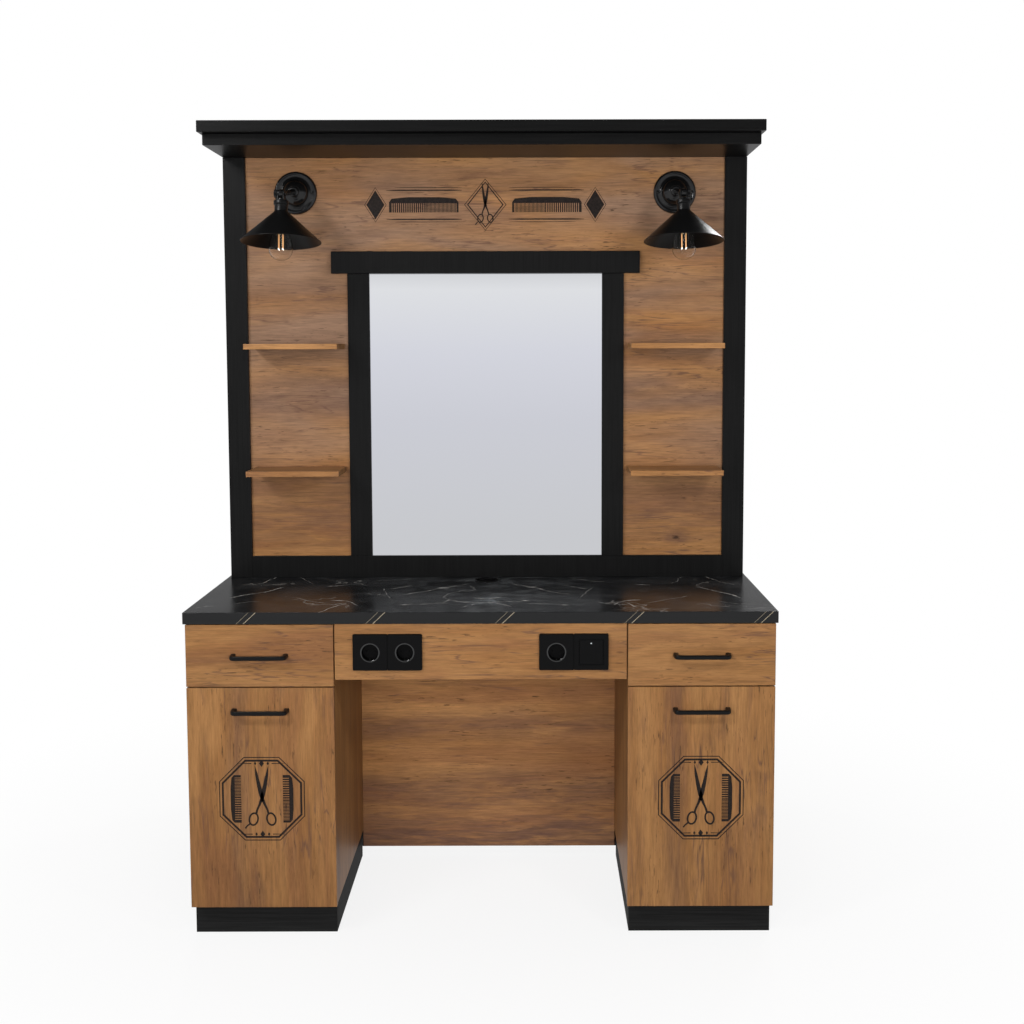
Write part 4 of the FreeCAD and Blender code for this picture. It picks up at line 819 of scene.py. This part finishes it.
def spring_clip(side, floor):
    """A bent strip: a flat section carried along a path that leaves the recess floor at its wall, leans
    into the recess and returns to the wall near the face."""
    wall = RECESS["radius"] - 0.2
    path = eased([(floor, wall), (floor - 3.5, wall - 1.7), (floor - 10.5, wall - 1.7),
                  (floor - 14, wall)], 2, 5)
    section = rounded_box(0.0042, 0.0006, 0.0002, 2)
    return np.stack([upright(section + (0, z), y) * (1, 1, side) for y, z in path])


def module(name, x, z, front, facing, with_recess):
    """One socket or switch frame, centred at x and z, on the apron's face at the given Y. Each plate is
    a closed shell: its rings run from the back over the eased edge to the face and back inside."""
    proud = MODULE["proud"]
    rim = [("edge", 0, 0), ("edge", 0, proud - 1.6), ("edge", 0.5, proud - 0.4), ("edge", 1.2, proud),
           ("edge", 1.6, proud)]
    if with_recess:
        r, floor = RECESS["radius"], RECESS["depth"] - proud
        bore = r + 3.4
        plate = [("round", bore, 0), *rim, ("round", bore + 0.6, proud), ("round", bore + 0.3, proud),
                 ("round", bore, proud - 0.4), ("round", bore, 0)]
        cup = [(0, floor + 1), (r + 0.8, floor + 1), (r + 0.6, 3 - proud), (r, 3 - proud),
               (r - 0.3, floor - 1.2), (r - 1.4, floor), (0, floor)]
        turn = np.linspace(0, 2 * math.pi, 17)
        lip = 0.001 * np.column_stack([r + 2.2 + 2.3 * np.cos(turn), 1.6 - proud - 1.6 * np.sin(turn)])
        parts = [("plate", plate_rows(plate), black_plastic),
                 ("cup", along_y(spun(cup, 0.5, 72), 1), deep_black),
                 ("lip", along_y(lathe(lip, 72), 1), black_gloss)]
        for sign in (-1, 1):
            at = (sign * RECESS["contact_half"], floor, 0)
            parts += [("collar", disc(3.8, 0.8, at), black_plastic), ("hole", disc(2.7, 1.1, at), hole_painted_shade),
                      ("clip", spring_clip(sign, floor), clip_nickel)]
    else:
        plate = [("round", 0, 0), *rim, ("well", 0.7, proud), ("well", 0.5, proud - 0.3),
                 ("well", 0.5, proud - 7), ("round", 0, proud - 7)]
        parts = [("plate", plate_rows(plate), black_plastic)]
    return [surface(f"{name}_{kind}", moved(rows, facing, place=(x, front, z)), finish,
                    cap_ends=kind == "clip", crease=32) for kind, rows, finish in parts]


def pivot(joint):
    """Where a joint's axis stands in the frame."""
    return next(row["pos_m"] for row in frame["joints"] if row["name"] == joint)


for face, face_name in FACES:
    low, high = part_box("outlet_modules")
    apron_face = face * (abs(low.y) - 0.001 * MODULE["proud"])
    pitch = 0.001 * MODULE["pitch"]
    outer = high.x - pitch / 2
    made = []
    for index, across in enumerate((-outer, pitch - outer, outer - pitch, outer)):
        made += module(f"outlet_{face_name}_{index}", -face * across, (low.z + high.z) / 2, apron_face, face,
                       index < 3)
    outlets = joined(f"outlet_set_{face_name}", made)
    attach(outlets, "station")
    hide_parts("outlet_modules")

    # The rocker is a slightly dished paddle; it rests tipped back at its top edge.
    paddle_rows = []
    for inset, proud in ((0, 0), (0, 4.8), (0.5, 5.8), (1.4, 6), (6, 5.9), (13, 5.6), (21, 5.5)):
        ring = rounded_box(ROCKER["width"] - 2 * inset, ROCKER["height"] - 2 * inset, 2.2, 6)
        paddle_rows.append(upright(ring, -proud))
    rest = (face, ROCKER["rest_tilt"], pivot(f"rocker_tilt_{face_name}"))
    paddle = surface(f"rocker_paddle_{face_name}", moved(0.001 * np.stack(paddle_rows), *rest), black_plastic,
                     cap_ends=True, crease=40)
    lens = surface(f"rocker_lens_{face_name}", moved(disc(1.6, 6.1, (0, 0, 20.5)), *rest), indicator)
    rocker = joined(f"switch_rocker_piece_{face_name}", [paddle, lens])
    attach(rocker, f"rocker_{face_name}")
    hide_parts(f"switch_rocker_{face_name}")


# --- Wall lamps ---
# Each lamp has a pressed-steel wall plate with a stepped dome, a tube arm ending in an eye, and a spun
# cone shade that tilts on a pin between two cheeks, held by a knurled nut. All of it is semi-gloss black,
# and a clear bulb hangs in the shade. Outlines are in mm.
SHADE_TILT = math.radians(7)
ARM_DROP = 0.025
SCREW_OFFSET = 0.045
THREAD_PITCH = 0.0036
FILAMENT_CIRCLE = 0.0072
gloss_black = powder_coat("semi_gloss_black", 0.17, 0.55)
satin_black = powder_coat("satin_black_shade", 0.36, 0.24)


def clear_glass():
    """Thin blown glass: it lets light through, with a trace of ripple in its surface."""
    finish = Finish("bulb_clear_glass", base_color=(0.97, 0.97, 0.96), roughness=0, transmission_weight=1,
                    ior=1.12)
    return finish.relief(finish.noise(25, 0), 0.008, 0.0005)


bulb_glass = clear_glass()
brass_cap = sheet_steel("brass_cap", (0.72, 0.56, 0.28), 0.25)
filament_wire = sheet_steel("support_wire", (0.6, 0.58, 0.55), 0.3)
filament_glow = Finish("glowing_filament", base_color=(0.55, 0.30, 0.12), emission_color=(1, 0.50, 0.20),
                       emission_strength=0.42)
# The beads at the foot of the filaments glow white: a painted glint on their wire ends.
filament_bead = Finish("filament_bead", base_color=(0.8, 0.78, 0.75), roughness=0.2,
                       emission_color=(1, 0.95, 0.88), emission_strength=0.7)


def knurled(radius, length, ridges=26, segments=208):
    """A turned nut with straight ridges: r = radius times 1 plus a cosine of the ridge angle."""
    outline = np.array([(0, 0), (0.86, 0), (1, 0.10), (1, 0.90), (0.86, 1), (0.45, 1),
                        (0.40, 0.93), (0, 0.93)]) * (radius, length)
    rows = lathe(outline, segments)
    ridged = (outline[:, 0] > 0.9 * radius)[:, None]
    rows[..., :2] *= np.where(ridged, 1 + 0.045 * np.cos(ridges * around(segments)), 1)[..., None]
    return rows


def edison_bulb():
    """Parts of a clear bulb hung under the knuckle: glass, screw cap, stem and upright filaments. The
    glass is one wall: its inside is the outside drawn in and shortened about the widest point."""
    outside = eased([(0, -167.8), (12, -166), (22.5, -159.5), (28.6, -149), (29.8, -138), (28.8, -127),
                     (26.6, -117), (23.6, -107), (19.8, -95), (15.6, -80), (13.8, -71.8)], 4, 4)
    widest = np.array((0, -0.138))
    inside = (outside[::-1] - widest) * (0.965, 0.975) + widest
    height = np.linspace(-0.071, -0.046, 61)
    thread = np.column_stack([0.0126 + 0.0006 * np.cos(height * 2 * math.pi / THREAD_PITCH), height])
    cap = np.concatenate([[(0, -0.0716), (0.0131, -0.0716)], thread, [(0, -0.0455)]])
    stem = eased([(0, -72), (5.2, -72), (3.6, -94), (2.2, -106), (0, -108)], 2)
    parts = [("bulb_glass", lathe(np.concatenate([outside, inside]), 72), bulb_glass),
             ("bulb_cap", lathe(cap, 48), brass_cap), ("bulb_stem", lathe(stem, 24), bulb_glass)]
    for count in range(4):
        turn = math.pi / 4 + count * math.pi / 2
        spot = FILAMENT_CIRCLE * np.array((math.cos(turn), math.sin(turn), 0))
        parts += [(f"filament_{count}", rod(0.8, -137.8, -102.5, 0.3, 8) + spot, filament_glow),
                  (f"filament_wire_{count}", rod(0.3, -103, -93.5, 0, 6) + 0.8 * spot, filament_wire),
                  (f"filament_bead_{count}", rod(1.4, -141.5, -137.3, 0.6, 12) + spot, filament_bead)]
    return parts


for face, _, where in CORNERS:
    knuckle = pivot(f"lamp_tilt_{where}")
    outward = 1 if -face * knuckle[0] > 0 else -1
    panel_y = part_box("tower_panels")[0 if face < 0 else 1].y
    wall = np.array((knuckle[0], panel_y, knuckle[2] + ARM_DROP))

    # Wall plate: rolled rim, a dished step, a raised ring and the dome, then the arm's collar.
    plate = spun([(0, 0), (56, 0), (56, 4.2), (53.5, 7.6), (49, 8), (46.5, 6.6), (40.5, 6.6), (38, 8.4),
                  (34.8, 9), (33.5, 13.5), (30, 19), (24.5, 24.5), (18, 28.5), (16, 30), (13.5, 30),
                  (13, 33.5), (13, 36.5), (10.5, 37.8), (0, 37.8)], 1.2, 96)

    # Arm: a straight tube from the collar down to the eye, which is a short barrel across it.
    start = np.array((0, -0.034, 0))
    end = np.array((0, -abs(knuckle[1] - panel_y), -ARM_DROP))
    reach = np.linalg.norm(end - start)
    direction = (end - start) / reach
    tip = 1000 * reach - 10.5
    tube = spun([(0, 0), (7.2, 0), (7, 10), (7, tip - 12), (6.2, tip - 6), (4.6, tip), (0, tip)], 3, 40)
    tube = start + tube @ np.stack([(1, 0, 0), np.cross(direction, (1, 0, 0)), direction])
    nut = along_x(knurled(0.0090, 0.0078) + (0, 0, 0.0098)) * (outward, 1, 1)
    head = spun([(0, 9.7), (4.3, 9.7), (4.3, 11), (3, 12), (0, 12.1)], 0.8, 24)
    parts = (("wall_plate", along_y(plate), wall, 40), ("arm_tube", tube, wall, 35),
             ("arm_eye", along_x(rod(9.8, -5, 5, 0.8, 40)), knuckle, 35),
             ("arm_pin", along_x(rod(2.5, -11.8, 11.8, 0.4, 20)), knuckle, 35), ("arm_nut", nut, knuckle, 28),
             ("arm_pin_head", along_x(head) * (-outward, 1, 1), knuckle, 35))
    bracket = joined(f"lamp_bracket_{where}", [
        surface(part, moved(rows, face, place=place), gloss_black, crease=crease)
        for part, rows, place, crease in parts])
    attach(bracket, "station")
    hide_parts("lamp_brackets")

    # Plate screws: two low pan heads with a round recess, left and right of the dome.
    pan = spun([(0, 6.2), (4.2, 6.2), (4.2, 7.8), (3, 9.6), (1.2, 10.1), (1.2, 8.8), (0, 8.6)], 0.7, 28)
    heads = joined(f"plate_screws_{where}", [
        surface("screw", moved(along_y(pan), face, place=wall + (sign * SCREW_OFFSET, 0, 0)), gloss_black)
        for sign in (-1, 1)])
    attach(heads, "station")
    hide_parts("lamp_plate_screws")

    # Shade: a neck and cup over the lampholder, a spun cone with a rolled rim, and the two cheeks.
    cone = spun([(0, -12), (8.8, -12), (9, -16.5), (17.2, -17.4), (18.7, -19), (18.8, -26.2), (18, -27.9),
                 (16.3, -28.6), (16.3, -44), (20, -47.8), (98.5, -119.2), (99.8, -120.6), (99.2, -121.4),
                 (97.4, -120.6), (18.5, -49), (15.8, -48), (15.8, -61.8), (13.7, -61.8), (13.7, -24),
                 (0, -24)], 1.2, 128)
    parts = [("shade_cone", cone, 40)]
    for sign in (-1, 1):
        bar = rounded_box(0.0040, 0.0160, 0.0006, 3) + (sign * 0.0073, 0)
        cheek = np.stack([np.column_stack([bar, np.full(len(bar), height)]) for height in (-0.0170, 0)])
        parts += [(f"cheek_disc_{sign}", along_x(rod(9.8, 5.3, 9.3, 0.6, 32)) * (sign, 1, 1), 35),
                  (f"cheek_{sign}", cheek, 35)]
    shade = joined(f"lamp_shade_piece_{where}", [
        surface(part, moved(rows, face, -SHADE_TILT, knuckle), satin_black,
                cap_ends=part.startswith("cheek_") and "disc" not in part, crease=crease)
        for part, rows, crease in parts])
    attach(shade, f"lamp_head_{where}")
    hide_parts(f"lamp_shade_{where}")

    bulb = joined(f"lamp_bulb_piece_{where}", [
        surface(part, moved(rows, face, -SHADE_TILT, knuckle), finish)
        for part, rows, finish in edison_bulb()])
    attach(bulb, f"lamp_head_{where}")
    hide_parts(f"lamp_bulb_{where}")


# --- Floor, light and camera ---
# A pale studio: a white floor that keeps a soft shadow and fades into a white surround, a dark ceiling
# above it for the gloss, and soft boxes and spots in front of and above either side.
def pale_floor():
    """White to the eye with the shadow kept near the station, pale grey to reflections, matt to light."""
    finish = Finish("pale_floor", roughness=0.9, specular_ior_level=0)
    paths = {kind: finish.add("LightPath", out=f"Is {kind} Ray")
             for kind in ("Camera", "Glossy", "Transmission")}
    x, y, _ = finish.axes(finish.place)
    away = (x ** 2 + y ** 2) ** 0.5
    seen = paths["Camera"] + paths["Transmission"]
    finish.feed(base_color=finish.blend(seen, (0.28, 0.28, 0.28), (0.90, 0.90, 0.90)))
    glow = finish.add("Emission", {}, {"Color": (1, 1, 1, 1), "Strength": seen + paths["Glossy"] * 0.66})
    share = seen * (away.ramp(0.5, 2) * 0.15 + 0.85) + paths["Glossy"]
    mixed = finish.add("MixShader", {}, {"Fac": share, 1: Signal(finish, finish.surface.outputs[0]), 2: glow})
    finish.tree.links.new(mixed.socket, finish.tree.nodes["Material Output"].inputs["Surface"])
    return finish.material


FLOOR_REACH = 5
floor_mesh = bpy.data.meshes.new("studio_floor")
floor_corners = ((-1, -1), (1, -1), (1, 1), (-1, 1))
floor_mesh.from_pydata([(x * FLOOR_REACH, y * FLOOR_REACH, 0) for x, y in floor_corners], [], [(0, 1, 2, 3)])
floor_mesh.materials.append(pale_floor())
studio_floor = linked("studio_floor", floor_mesh)


AMBIENT = 0.20


def surround():
    """The world: white to the eye, and for reflections a band that pales upwards to just over the
    horizon and is dark above. Light that is scattered gets a low even level."""
    world = bpy.data.worlds.new("studio")
    world.use_nodes = True
    sky = Finish.__new__(Finish)
    sky.tree = world.node_tree
    height = sky.axes(sky.add("TexCoord", out="Generated"))[2]
    stops = [(0, (0.63,) * 3), (0.450, (0.64, 0.64, 0.645)), (0.495, (0.665, 0.665, 0.700)),
             (0.522, (0.725, 0.725, 0.765)), (0.547, (0.81,) * 3), (0.570, (0.45,) * 3), (0.605, (0.13,) * 3),
             (1, (0.12,) * 3)]
    band = sky.add("ValToRGB", {"stops": stops}, {"Fac": height * 0.5 + 0.5})
    seen = sky.add("LightPath", out="Is Camera Ray") + sky.add("LightPath", out="Is Transmission Ray")
    light = sky.blend(sky.add("LightPath", out="Is Glossy Ray"), (AMBIENT,) * 3, band)
    light = sky.blend(seen, light, (1, 1, 1))
    sky.tree.links.new(light.socket, sky.tree.nodes["Background"].inputs["Color"])
    scene.world = world


surround()

SOFT_BOXES = (
    # name, place and target for the rear side, size, watts, whether gloss shows it, whether matt surfaces do
    ("soft_box_left_{}", (1.35, 3.8, 1.60), (0, 0, 1.05), (0.8, 0.8), 17, False, True),
    ("soft_box_right_{}", (-1.5, 3.7, 1.55), (0, 0, 1.05), (0.8, 0.8), 18, False, True),
    ("soft_box_fill_{}", (0.1, 3, 1.10), (0, 0, 0.7), (1.4, 0.8), 30, False, True),
    ("soft_box_sheen_{}", (-1.5, -1.3, 2.85), (-0.55, 0.29, 1.66), (0.6, 0.6), 24, True, False),
    ("spot_{}_1", (1.05, 1.75, 1.82), (0.3, 0, 1.35), (0.2, 0.2), 5.6, False, True),
    ("spot_{}_-1", (-1.05, 1.75, 1.82), (-0.3, 0, 1.35), (0.2, 0.2), 7.4, False, True),
    ("soft_box_top_{}", (2.1, 2.6, 2.90), (0, 0, 1.6), (0.7, 0.5), 26, True, True),
)
for face, _ in FACES:
    for name, place, target, size, watts, mirrored, scattered in SOFT_BOXES:
        light = bpy.data.lights.new(name.format(face), "AREA")
        light.shape = "RECTANGLE"
        light.size, light.size_y = size
        light.energy = watts
        lamp = linked(light.name, light)
        place, target = (np.array(point) * (face, face, 1) for point in (place, target))
        aim = target - place
        lamp.location = place
        lamp.rotation_euler = (math.acos(-aim[2] / np.linalg.norm(aim)), 0,
                               math.atan2(aim[1], aim[0]) - math.pi / 2)
        lamp.visible_glossy, lamp.visible_diffuse = mirrored, scattered

# The camera stands 3.4 m in front of the middle, at 1.42 m, and looks 4.5 degrees down.
CAMERA_PLACE = (0.12076, -3.43729, 1.41757)
YAW, PITCH, ROLL = 0.000825, 0.0782502, -0.0024214
FOCAL_PIXELS, MIDDLE_PIXELS, FRAME_PIXELS = 1255.672, (532.532, 444.065), 1024
camera = bpy.data.cameras.new("camera")
camera.sensor_width = 36
camera.lens = FOCAL_PIXELS / FRAME_PIXELS * camera.sensor_width
camera.shift_x = (FRAME_PIXELS / 2 - MIDDLE_PIXELS[0]) / FRAME_PIXELS
camera.shift_y = (MIDDLE_PIXELS[1] - FRAME_PIXELS / 2) / FRAME_PIXELS
forward = np.array([math.sin(YAW) * math.cos(PITCH), math.cos(YAW) * math.cos(PITCH), -math.sin(PITCH)])
level = np.array([math.cos(YAW), -math.sin(YAW), 0])
above = np.cross(level, forward)
right = math.cos(ROLL) * level + math.sin(ROLL) * above
up = -math.sin(ROLL) * level + math.cos(ROLL) * above
viewer = linked("camera", camera)
pose = np.eye(4)
pose[:3, 0], pose[:3, 1], pose[:3, 2], pose[:3, 3] = right, up, -forward, CAMERA_PLACE
viewer.matrix_world = mathutils.Matrix(pose.tolist())
scene.camera = viewer
scene.view_settings.view_transform = "Standard"
